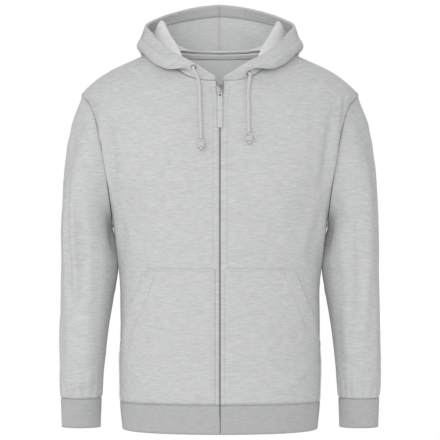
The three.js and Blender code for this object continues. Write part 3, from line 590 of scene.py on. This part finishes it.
def cut_piece(name, node, skin, wall=WALL, cloth=(fleece, brushed_inside_and_painted_light), slot="fleece"):
    """The finished piece: its skin made as thick as the cloth, whose two sides may differ."""
    skin.materials.clear()
    for side in cloth:
        skin.materials.append(side)
    settings = {"thickness": wall, "offset": -1, "use_rim": True, "material_offset": 1}
    mesh = applied(skin, ("SOLIDIFY", settings))
    mesh.polygons.foreach_set("use_smooth", [True] * len(mesh.polygons))
    return add_piece(name, mesh, node, slot=slot)


def from_body(spot):
    return Vector((spot.x / BODY_HALF_WIDTH, spot.y / BODY_HALF_DEPTH, 0)).length


plain_fronts = {}
front_skins = {}
for side, sign in SIDES:
    name = f"front_{side}"
    skin = smooth_side(one_side(name, WALL, from_body))
    plain_fronts[side] = surface_of(skin)
    creased(skin, FRONT_CREASES[side], 3 + sign, from_front)
    front_skins[side] = skin.copy()
    piece = cut_piece(f"{name}_panel", name, skin)


# Back: one piece of the same fleece, from the shoulder seams to the hem band, with slack cloth in
# soft folds below the hood and towards the side seams.
BACK_CREASES = [
    ([(0.236, -0.100), (0.214, -0.170), (0.196, -0.260)], 0.0040, 0.012),
    ([(-0.236, -0.104), (-0.216, -0.176), (-0.198, -0.262)], 0.0036, 0.012),
    ([(0.196, -0.250), (0.150, -0.320), (0.100, -0.360)], 0.0028, 0.014),
    ([(-0.192, -0.246), (-0.146, -0.310), (-0.090, -0.344)], 0.0026, 0.014),
    ([(0.120, -0.150), (0.126, -0.260), (0.112, -0.380)], -0.0022, 0.018),
    ([(-0.110, -0.160), (-0.122, -0.270), (-0.108, -0.400)], -0.0022, 0.018),
    ([(0.176, -0.540), (0.110, -0.600), (0.040, -0.630)], 0.0026, 0.012),
    ([(-0.172, -0.550), (-0.100, -0.606), (-0.030, -0.632)], 0.0024, 0.012),
    ([(0.060, -0.420), (0.000, -0.450), (-0.070, -0.430)], 0.0018, 0.018),
    ([(0.194, -0.270), (0.190, -0.340), (0.186, -0.420)], 0.0034, 0.014),
    ([(-0.194, -0.270), (-0.190, -0.340), (-0.186, -0.420)], 0.0034, 0.014),
]


def from_behind(spot):
    return Vector((spot[0], 1, spot[1])), Vector((0, -1, 0))


back_skin = smooth_side(one_side("back", WALL, from_body))
creased(back_skin, BACK_CREASES, 9, from_behind)
back_panel = cut_piece("back_panel", "back", back_skin)


# Sleeves: fleece, set in round the armhole, sewn under the arm, and full enough to hang in long
# folds that gather just above the cuff. A last ridge lies under the arm, on the body's side.
SLEEVE_AXIS = (0.254, -0.008)
ARM_X = 0.25
BELOW_UNDERARM = -0.35
CUFF_SEAM = -0.636
CUFF_CENTRE = (0.2595, -0.019)
OUTSIDE_ARM = 0.2
# A spot is an angle round the arm in degrees and a height, or a place in three numbers.
SLEEVE_CREASES = {
    "left": [
        ([(318, -0.190), (312, -0.330), (300, -0.480)], 0.0026, 0.010),
        ([(262, -0.300), (248, -0.440), (236, -0.590)], -0.0026, 0.011),
        ([(60, -0.170), (66, -0.290), (62, -0.420)], 0.0026, 0.011),
        ([(96, -0.260), (84, -0.400), (92, -0.520)], -0.0028, 0.008),
        ([(120, -0.330), (108, -0.430), (112, -0.560)], 0.0024, 0.010),
        ([(36, -0.430), (44, -0.520), (52, -0.600)], 0.0020, 0.010),
        ([(30, -0.590), (70, -0.606), (110, -0.596)], 0.0020, 0.009),
        ([(60, -0.560), (100, -0.572), (140, -0.560)], -0.0016, 0.009),
        ([(200, -0.420), (212, -0.500), (206, -0.600)], 0.0022, 0.012),
        ([(178, -0.328), (178, -0.370), (182, -0.430)], 0.0034, 0.015),
        ([(0.203, 0, -0.319), (0.194, 0, -0.342), (0.193, 0, -0.368)], 0.0068, 0.013),
    ],
    "right": [
        ([(318, -0.200), (310, -0.340), (302, -0.470)], 0.0024, 0.010),
        ([(262, -0.310), (250, -0.430), (238, -0.580)], -0.0024, 0.011),
        ([(52, -0.225), (58, -0.330), (66, -0.470)], -0.0048, 0.0070),
        ([(66, -0.260), (72, -0.350), (78, -0.440)], 0.0028, 0.007),
        ([(82, -0.250), (88, -0.330), (96, -0.440)], -0.0040, 0.0075),
        ([(92, -0.310), (100, -0.430), (98, -0.560)], 0.0026, 0.010),
        ([(30, -0.470), (40, -0.540), (52, -0.604)], -0.0018, 0.010),
        ([(40, -0.598), (80, -0.608), (120, -0.594)], 0.0020, 0.009),
        ([(50, -0.566), (96, -0.578), (140, -0.566)], -0.0016, 0.009),
        ([(204, -0.430), (214, -0.510), (208, -0.600)], 0.0022, 0.012),
        ([(178, -0.328), (178, -0.370), (182, -0.430)], 0.0034, 0.015),
        ([(-0.203, 0, -0.319), (-0.194, 0, -0.342), (-0.193, 0, -0.368)], 0.0068, 0.013),
    ],
}


def toward_sleeve(sign):
    """Rays from outside to the sleeve's axis, at an angle in degrees and a height."""
    def ray(spot):
        angle = math.radians(spot[0])
        out = Vector((sign * math.cos(angle), -math.sin(angle), 0))
        axis = Vector((sign * SLEEVE_AXIS[0], SLEEVE_AXIS[1], spot[1]))
        return axis + out * OUTSIDE_ARM, -out
    return ray


def from_arm(sign):
    """How far a spot is from the middle of the arm, where the sleeve hangs free of the body."""
    return lambda spot: (
        math.hypot(spot.x - sign * ARM_X, spot.y) if spot.z < BELOW_UNDERARM else 0
    )


def gathered(mesh, seam_z, centre, count=17, depth=0.0011, reach=0.03, start=0.005):
    """Small upright puckers where the sleeve is drawn in to its cuff."""
    places = points_of(mesh)
    normals = points_of(mesh, "vertices", "normal")
    angle = np.arctan2(places[:, 1] - centre[1], places[:, 0] - centre[0])
    above = np.clip(places[:, 2] - seam_z, 0, None)
    fade = np.exp(-above / reach) * np.clip(above / start, 0, 1)
    pucker = np.cos(count * angle + 1.3 * np.sin(3 * angle)) * depth * fade
    mesh.vertices.foreach_set("co", (places + normals * pucker[:, None]).ravel())
    mesh.update()


for side, sign in SIDES:
    name = f"sleeve_{side}"
    skin = smooth_side(one_side(name, WALL, from_arm(sign)))
    creased(skin, SLEEVE_CREASES[side], 20 + sign, toward_sleeve(sign))
    gathered(skin, CUFF_SEAM, (sign * CUFF_CENTRE[0], CUFF_CENTRE[1]))
    piece = cut_piece(f"{name}_panel", name, skin)


# Cuffs and hem band: doubled strips of fine upright rib, a little stretched where they are sewn to
# the fleece and drawn in below it.
rib_cloth = heather(
    "rib", light=(0.56, 0.565, 0.565), dark=(0.40, 0.405, 0.405), streak=0.5, nap=0.3,
)
RIB = (rib_cloth, rib_cloth)
RIB_PITCH = 0.0034
RIB_RELIEF = 0.0004
POINTS_A_RIB = 4
RIB_SEAM_DEPTH = 0.0009
LEVEL_SLOPE = 0.6
RIB_SEAMS_ABOVE = -0.66
HEM_CENTRE = (0, -0.004)


def ribbed(mesh, centre):
    """Cuts a smooth band into narrow upright strips and raises every rib on them."""
    shape = bmesh.new()
    shape.from_mesh(mesh)
    level = [
        edge for edge in shape.edges
        if abs((edge.verts[0].co - edge.verts[1].co).normalized().z) < LEVEL_SLOPE
    ]
    around = sum(edge.calc_length() for edge in level if edge.is_boundary) / 2
    columns = sum(1 for edge in level if edge.is_boundary) / 2
    cuts = max(round(around / RIB_PITCH * POINTS_A_RIB / columns) - 1, 1)
    bmesh.ops.subdivide_edges(shape, edges=level, cuts=cuts, use_grid_fill=True)
    dense = bpy.data.meshes.new("rib")
    shape.to_mesh(dense)
    border = np.array([vert.is_boundary for vert in shape.verts])
    shape.free()
    places = points_of(dense)
    normals = points_of(dense, "vertices", "normal")
    angle = np.arctan2(places[:, 1] - centre[1], places[:, 0] - centre[0])
    sewn = border & (places[:, 2] > RIB_SEAMS_ABOVE)
    order = np.argsort(angle[sewn])
    loop = places[sewn][order][:, :2]
    marks = angle[sewn][order]
    reach = reach_along(loop)
    total = reach[-1] + float(np.linalg.norm(loop[-1] - loop[0]))
    ribs = round(total / RIB_PITCH)
    share = np.interp(angle, marks, reach / total, period=2 * np.pi)
    height = RIB_RELIEF * np.cos(2 * np.pi * ribs * share)
    height[sewn] -= RIB_SEAM_DEPTH
    dense.vertices.foreach_set("co", (places + normals * height[:, None]).ravel())
    dense.update()
    return dense


def from_middle(centre):
    return lambda spot: math.hypot(spot.x - centre[0], spot.y - centre[1])


for side, sign in SIDES:
    name = f"cuff_{side}"
    centre = (sign * CUFF_CENTRE[0], CUFF_CENTRE[1])
    band = smooth_side(one_side(name, WALL, from_middle(centre)), levels=2)
    piece = cut_piece(f"{name}_band", name, ribbed(band, centre), cloth=RIB, slot="rib")

hem = ribbed(smooth_side(one_side("hem_band", WALL, from_body), levels=2), HEM_CENTRE)
hem_piece = cut_piece("hem_band_rib", "hem_band", hem, cloth=RIB, slot="rib")


# Hood: two outer panels and two lining panels, seamed down the middle. The outer cloth is turned in
# round the opening and stitched down as the drawcord's channel, so the edge is a thick soft roll.
LINING_WALL = 0.0012
CHANNEL_DEPTH = 0.023
STITCH_REACH = CHANNEL_DEPTH * 0.85
EDGE_THICKNESS = 0.0059
WALK_REACH = 0.06
# Where the cloth reaches in less far than FULL_SPAN, as at the front ends, the channel is narrower
# in proportion, and thinner, down to THIN_SHARE.
FULL_SPAN = 0.05
THIN_SHARE = 0.4
FIRST_STEP = 0.004
# The turned edge, line by line: how far in from the free edge, and the share of its thickness.
CHANNEL_PROFILE = [
    (-0.0012, 0.16), (-0.0021, 0.42), (-0.0019, 0.74), (-0.0008, 0.96), (0.003, 1.0),
    (CHANNEL_DEPTH * 0.35, 1.0), (CHANNEL_DEPTH * 0.6, 1.0), (STITCH_REACH, 1.0),
    (CHANNEL_DEPTH * 0.95, 0.95), (CHANNEL_DEPTH, 0.75),
]
# The opening's free edge in millimetres, from its front end to the centre seam.
HOOD_EDGE = [
    (8.5, -103, -41.8), (50, -98.5, -15), (92, -74, 9), (113, -46, 28), (130, -13, 48),
    (143, 37, 65), (128, 82, 81), (82, 128, 102), (0, 150, 117),
]
NEAR_EDGE = 0.009
CHANNEL_END_X = 0.04
CENTRE_SEAM_X = 0.0006
CENTRE_SEAM_TOP = 0.1155
STITCH_PITCH = 0.0034
STITCH_SIZE = (0.0013, 0.0004, 0.0004, 1)
STITCH_LIFT = 0.0001
LOOK_AHEAD = 0.001
HOOD_CREASES = {
    "left": [
        ([(0.1, 0.06, 0.03), (0.13, 0.11, -0.02), (0.11, 0.15, -0.07)], 0.003, 0.012),
        ([(0.06, 0.15, -0.09), (0.09, 0.17, -0.02), (0.07, 0.16, 0.06)], -0.0022, 0.014),
        ([(0.14, -0.01, 0.02), (0.15, 0.06, 0.03), (0.13, 0.11, 0.05)], 0.0022, 0.012),
    ],
    "right": [
        ([(-0.1, 0.06, 0.03), (-0.13, 0.11, -0.02), (-0.11, 0.15, -0.07)], 0.0028, 0.012),
        ([(-0.06, 0.15, -0.08), (-0.09, 0.17, -0.01), (-0.07, 0.16, 0.06)], -0.0022, 0.014),
        ([(-0.14, -0.01, 0.02), (-0.15, 0.06, 0.03), (-0.13, 0.11, 0.05)], 0.002, 0.012),
    ],
}
# The lining is the same cloth as the outside, coloured lighter as painted light that lifts the
# shade inside the hood.
lining_cloth_painted_light = heather(
    "lining", light=(0.88, 0.885, 0.885), dark=(0.68, 0.685, 0.685), streak=0.6, nap=0.4,
)
thread = Finish("thread", roughness=0.7)
thread_twist = thread.fibres(2600, (1, 1, 0.3))
thread.feed("Base Color", thread.between(thread_twist, (0.36, 0.365, 0.36), (0.52, 0.525, 0.52)))


def nearest_to(name):
    tree = surface_of(nodes[name].data)
    return lambda spot: tree.find_nearest(spot)[3]


def border_run(shape, keep):
    """The border's vertices that keep accepts, in order along the border."""
    left = dict.fromkeys(vert for vert in shape.verts if vert.is_boundary and keep(vert.co))
    runs = []
    while left:
        run = [left.popitem()[0]]
        for end in (-1, 0):
            while True:
                onward = [
                    edge.other_vert(run[end]) for edge in run[end].link_edges
                    if edge.is_boundary and edge.other_vert(run[end]) in left
                ]
                if not onward:
                    break
                del left[onward[0]]
                run.insert(len(run) if end else 0, onward[0])
        runs.append(run)
    return max(runs, key=len)


def walk_in(vert):
    """Points and normals across the cloth, square to its border."""
    inward = [edge for edge in vert.link_edges if not edge.is_boundary]
    found = [(vert.co.copy(), vert.normal.copy())]
    gone = 0
    edge = inward[0] if inward else None
    while edge and gone < WALK_REACH:
        vert = edge.other_vert(vert)
        gone += (vert.co - found[-1][0]).length
        found.append((vert.co.copy(), vert.normal.copy()))
        faces = set(edge.link_faces)
        onward = [other for other in vert.link_edges if not set(other.link_faces) & faces]
        edge = onward[0] if len(onward) == 1 and not vert.is_boundary else None
    return found


def spot_along(walk, reach):
    """The point and normal at a distance along a walk."""
    for (a, normal_a), (b, normal_b) in zip(walk, walk[1:]):
        step = (b - a).length
        if step >= reach:
            share = reach / max(step, 1e-9)
            return a.lerp(b, share), normal_a.lerp(normal_b, share).normalized()
        reach -= step
    return walk[-1]


def next_row(shape, row):
    """A new line of vertices beside a row, in the row's order."""
    edges = [edge for a, b in zip(row, row[1:]) for edge in a.link_edges if edge.other_vert(a) is b]
    made = bmesh.ops.extrude_edge_only(shape, edges=edges)["geom"]
    places = {}
    for vert in made:
        if isinstance(vert, bmesh.types.BMVert):
            nearest = min(range(len(row)), key=lambda i: (row[i].co - vert.co).length_squared)
            places[nearest] = vert
    return [places[i] for i in range(len(row))]


def with_channel(mesh, keep):
    """Turns the free edge in as a soft roll and a facing, and finds its rows of stitches."""
    shape = bmesh.new()
    shape.from_mesh(mesh)
    shape.normal_update()
    row = border_run(shape, keep)
    walks = [walk_in(vert) for vert in row]
    for end, beside in ((0, 1), (-1, -2)):
        if len(walks[end]) == 1:
            walks[end] = walks[beside]
    across = [vert.co.x for vert in row]
    spans = [sum((b[0] - a[0]).length for a, b in zip(walk, walk[1:])) for walk in walks]
    scales = [min(span / FULL_SPAN, 1) for span in spans]
    for reach, share in CHANNEL_PROFILE:
        row = next_row(shape, row)
        line = []
        for vert, walk, scale, x in zip(row, walks, scales, across):
            inward = (spot_along(walk, FIRST_STEP)[0] - walk[0][0]).normalized()
            if reach > 0:
                place, normal = spot_along(walk, reach * scale)
            else:
                place, normal = walk[0][0] + inward * reach, walk[0][1]
            thickness = EDGE_THICKNESS * share * (THIN_SHARE + (1 - THIN_SHARE) * scale)
            vert.co = place - normal * thickness
            if abs(x) < CENTRE_SEAM_X:
                vert.co.x = x
            line.append((vert.co.copy(), -normal))
        if reach == STITCH_REACH:
            facing_row = line
    outer_row = [spot_along(walk, STITCH_REACH * scale) for walk, scale in zip(walks, scales)]
    turned = bpy.data.meshes.new("hood")
    bmesh.ops.recalc_face_normals(shape, faces=shape.faces)
    shape.to_mesh(turned)
    shape.free()
    return turned, [facing_row, outer_row]


def free_edge(sign):
    """Whether a spot of the border is on the hood's opening, past its front end and centre seam."""
    line = even_path([Vector((sign * x, y, z)) / 1000 for x, y, z in HOOD_EDGE], 0.002)
    return lambda spot: (
        float(np.linalg.norm(line - np.array(spot), axis=1).min()) < NEAR_EDGE
        and (abs(spot.x) > CHANNEL_END_X or spot.y > 0)
        and (abs(spot.x) > CENTRE_SEAM_X or spot.z > CENTRE_SEAM_TOP)
    )


def stitched(name, rows):
    """Rows of lock stitches, each row on a line of points and normals."""
    mesh = bpy.data.meshes.new(name)
    shape = bmesh.new()
    size = Matrix.Diagonal(STITCH_SIZE)
    for line in rows:
        row = bmesh.new()
        points = np.array([place[:] for place, _ in line])
        normals = np.array([normal[:] for _, normal in line])
        reach = reach_along(points)
        marks = np.arange(STITCH_PITCH, reach[-1] - STITCH_PITCH, STITCH_PITCH)
        spots = at_marks(marks, reach, points)
        ahead = at_marks(marks + LOOK_AHEAD, reach, points)
        for spot, onward, up in zip(spots, ahead, at_marks(marks, reach, normals)):
            up = Vector(up).normalized()
            along = (Vector(onward) - Vector(spot)).normalized()
            turn = Matrix((along, up.cross(along).normalized(), up)).transposed().to_4x4()
            place = Matrix.Translation(Vector(spot) + up * STITCH_LIFT) @ turn @ size
            bmesh.ops.create_uvsphere(row, u_segments=6, v_segments=4, radius=1, matrix=place)
        row.to_mesh(mesh)
        row.free()
        shape.from_mesh(mesh)
    shape.to_mesh(mesh)
    shape.free()
    mesh.polygons.foreach_set("use_smooth", [True] * len(mesh.polygons))
    mesh.materials.append(thread.material)
    add_piece(name, mesh, slot="fleece")


channel_rows = []
for side, sign in SIDES:
    name = f"hood_{side}"
    lining_name = f"hood_lining_{side}"
    skin = smooth_side(one_side(name, WALL, nearest_to(lining_name)))
    creased(skin, HOOD_CREASES[side], 31 + sign)
    skin, rows = with_channel(skin, free_edge(sign))
    channel_rows += rows
    piece = cut_piece(f"{name}_panel", name, skin)

    to_hood = nearest_to(name)
    lining = smooth_side(one_side(lining_name, LINING_WALL, lambda spot: -to_hood(spot)))
    creased(lining, HOOD_CREASES[side], 31 + sign)
    piece = cut_piece(
        f"{lining_name}_panel", lining_name, lining, LINING_WALL, (lining_cloth_painted_light, lining_cloth_painted_light),
        "lining",
    )
stitched("channel_stitching", channel_rows)


# Pockets: the two halves of a kangaroo pocket in fleece, topstitched to the fronts along their top,
# zip side and lower side, and open at a slanted, hemmed mouth.
MOUTH = ((0.392, 0.440, 0.489, 0.524, 0.545), (0.134, 0.149, 0.170, 0.182, 0.1845))
MOUTH_REACH = 0.004
MOUTH_TOP = -0.396
MOUTH_FOOT = -0.542
SEWN_LIFT = 0.0003
BESIDE_SEWN_LIFT = 0.0012
OPEN_LIFT = 0.0022
POCKET_ROWS = [
    [(0.012, -0.397), (0.060, -0.397), (0.110, -0.397), (0.131, -0.397)],
    [(0.116, -0.398), (0.131, -0.440), (0.152, -0.489), (0.164, -0.524), (0.168, -0.548)],
]
for side, sign in SIDES:
    name = f"pocket_{side}"
    skin = smooth_side(one_side(name, WALL, from_body, slack=0.1 * WALL))
    front = surface_of(front_skins[side])
    places = points_of(skin)
    border, inner = (set(found) for found in border_edges(skin))
    from_mouth = np.abs(np.abs(places[:, 0]) - np.interp(-places[:, 2], *MOUTH))
    sewn = (from_mouth > MOUTH_REACH) | (places[:, 2] > MOUTH_TOP) | (places[:, 2] < MOUTH_FOOT)
    fitted = []
    for index, place in enumerate(places):
        plain, plain_normal = plain_fronts[side].find_nearest(Vector(place))[:2]
        lift = max((Vector(place) - plain).dot(plain_normal), OPEN_LIFT)
        if sewn[index] and index in border:
            lift = SEWN_LIFT
        elif sewn[index] and index in inner:
            lift = BESIDE_SEWN_LIFT
        spot, normal = front.find_nearest(Vector(place))[:2]
        fitted.append(spot + normal * lift)
    skin.vertices.foreach_set("co", np.array(fitted).ravel())
    skin.update()
    pocket = surface_of(skin)
    rows = [
        laid_line(pocket, [(sign * x, z) for x, z in line], from_front) for line in POCKET_ROWS
    ]
    stitched(f"pocket_stitching_{side}", rows)
    piece = cut_piece(f"{name}_patch", name, skin)


# Zip tapes: two narrow woven strips behind the front edges, sewn to them from collar to hem. Their
# dark colour is painted shade for the shadowed gap between the edges, where they show.
tape_cloth = Finish("woven_tape_painted_shade", roughness=0.8)
tape_yarn = tape_cloth.fibres(1500, (1, 1, 0.5))
# Dark grey: painted shade for the shadowed gap between the front edges.
tape_colour_painted_shade = tape_cloth.between(tape_yarn, (0.15, 0.155, 0.16), (0.26, 0.265, 0.27))
tape_cloth.feed("Base Color", tape_colour_painted_shade)
tape_cloth.bump(tape_yarn, 0.0003, 0.5)
TAPE = (tape_cloth.material, tape_cloth.material)
TAPE_WALL = 0.001


def tape_side(name, outermost):
    return smooth_side(one_side(name, TAPE_WALL, outermost, slack=0.1 * TAPE_WALL), levels=2)


for side, _ in SIDES:
    name = f"zip_tape_{side}"
    strip = tape_side(name, lambda spot: -spot.y)
    piece = cut_piece(f"{name}_strip", name, strip, TAPE_WALL, TAPE, "tape")


# Neck tape: a strip of light jersey, sewn flat over the back neck seam on the inside, below the
# hood's lining. Its colour is lighter than the fleece's as painted light, which lifts the shade
# inside the neck.
neck_cloth_painted_light = heather(
    "neck_tape", light=(0.76, 0.765, 0.765), dark=(0.62, 0.625, 0.625), streak=0.6, nap=0.3,
)
neck_piece = cut_piece(
    "neck_tape_strip", "neck_tape", tape_side("neck_tape", from_body), TAPE_WALL,
    (neck_cloth_painted_light, neck_cloth_painted_light), "tape",
)


# Slider and pull: a cast metal slider with a bridge over its top, from which a long flat pull of
# the garment's own cloth hangs and swings.
def softened(name, width, material):
    """A CAD piece with its edges rounded over."""
    shape = bmesh.new()
    shape.from_mesh(nodes[name].data)
    bmesh.ops.remove_doubles(shape, verts=shape.verts, dist=SAME_SPOT)
    bmesh.ops.dissolve_limit(
        shape, angle_limit=math.radians(4), verts=shape.verts, edges=shape.edges,
        use_dissolve_boundaries=False,
    )
    edges = [
        edge for edge in shape.edges
        if edge.is_manifold and edge.calc_face_angle(0) > math.radians(40)
    ]
    bmesh.ops.bevel(
        shape, geom=edges, offset=width, segments=2, profile=0.5, affect="EDGES",
        clamp_overlap=True, material=-1,
    )
    bmesh.ops.triangulate(shape, faces=[face for face in shape.faces if len(face.verts) > 4])
    mesh = bpy.data.meshes.new(name)
    shape.to_mesh(mesh)
    shape.free()
    mesh.polygons.foreach_set("use_smooth", [True] * len(mesh.polygons))
    mesh.set_sharp_from_angle(angle=math.radians(50))
    mesh.materials.append(material)
    return mesh


slider_mesh = softened("zip_slider", 0.0003, metal.material)
add_piece("slider_body", slider_mesh, "zip_slider", slot="metal")
pull_mesh = softened("zip_pull", 0.0004, fleece)
add_piece("pull_tab", pull_mesh, "zip_pull", body="pull", slot="pull")


# Zip: a row of topstitching down each front, beside the zip, and metal teeth clamped to the two
# tapes in turn, all the way down except under the slider.
# The fronts' edge from the collar down, in millimetres, as the places that follow are too.
ZIP_EDGE = [
    (7.4, -100, -49), (6.2, -103, -58), (4.6, -106.5, -69), (1.4, -111, -84),
    (0.8, -115.5, -101), (0.8, -122, -127), (0.8, -128.5, -158), (0.8, -134, -195),
    (0.8, -138.5, -240), (0.8, -141, -284), (0.8, -141.5, -315), (0.8, -141, -350),
    (0.8, -140, -395), (0.8, -138, -470), (0.8, -136, -560), (0.8, -135, -640),
    (0.8, -132.6, -655), (0.8, -131.8, -694),
]
TOPSTITCHED = ZIP_EDGE[1:15]
TOPSTITCH_IN = 12.2
TOPSTITCH_FOOT = [(13, -600), (13, -637)]
TOOTH_PITCH = 2.6
TEETH_TOP = -53
TEETH_FOOT = -690
UNDER_SLIDER = (-78, -57)
TOOTH_IN = 0.35
TOOTH_LEAST_X = 0.3
TOOTH_BEHIND = 2.4
TOOTH_SIZE_IN_METRES = (0.0022, 0.0014, 0.0011, 1)
topstitching = []
for side, sign in SIDES:
    line = [(x + TOPSTITCH_IN, z) for x, _, z in TOPSTITCHED] + TOPSTITCH_FOOT
    spots = [(sign * x / 1000, z / 1000) for x, z in line]
    topstitching.append(laid_line(surface_of(front_skins[side]), spots, from_front, steps=8))
stitched("zip_topstitching", topstitching)

tooth_metal = Finish("zip_teeth", roughness=0.42, metallic=0.7)
tooth_metal.shader.inputs["Base Color"].default_value = (0.11, 0.112, 0.115, 1)
teeth = bmesh.new()
edge_x, edge_y, edge_z = (np.array(column) for column in zip(*ZIP_EDGE))
for index, z in enumerate(np.arange(TEETH_TOP, TEETH_FOOT, -TOOTH_PITCH / 2)):
    if UNDER_SLIDER[0] < z < UNDER_SLIDER[1]:
        continue
    sign = 1 if index % 2 else -1
    x = float(np.interp(-z, -edge_z, edge_x))
    y = float(np.interp(-z, -edge_z, edge_y))
    spot = Vector((sign * max(x - TOOTH_IN, TOOTH_LEAST_X), y + TOOTH_BEHIND, z)) / 1000
    place = Matrix.Translation(spot) @ Matrix.Diagonal(TOOTH_SIZE_IN_METRES)
    bmesh.ops.create_cube(teeth, size=1, matrix=place)
bmesh.ops.bevel(
    teeth, geom=teeth.edges[:], offset=0.0002, segments=1, profile=0.5, affect="EDGES",
    clamp_overlap=True, material=-1,
)
teeth_mesh = bpy.data.meshes.new("teeth")
teeth.to_mesh(teeth_mesh)
teeth.free()
teeth_mesh.materials.append(tooth_metal.material)
add_piece("zip_teeth", teeth_mesh, slot="metal")
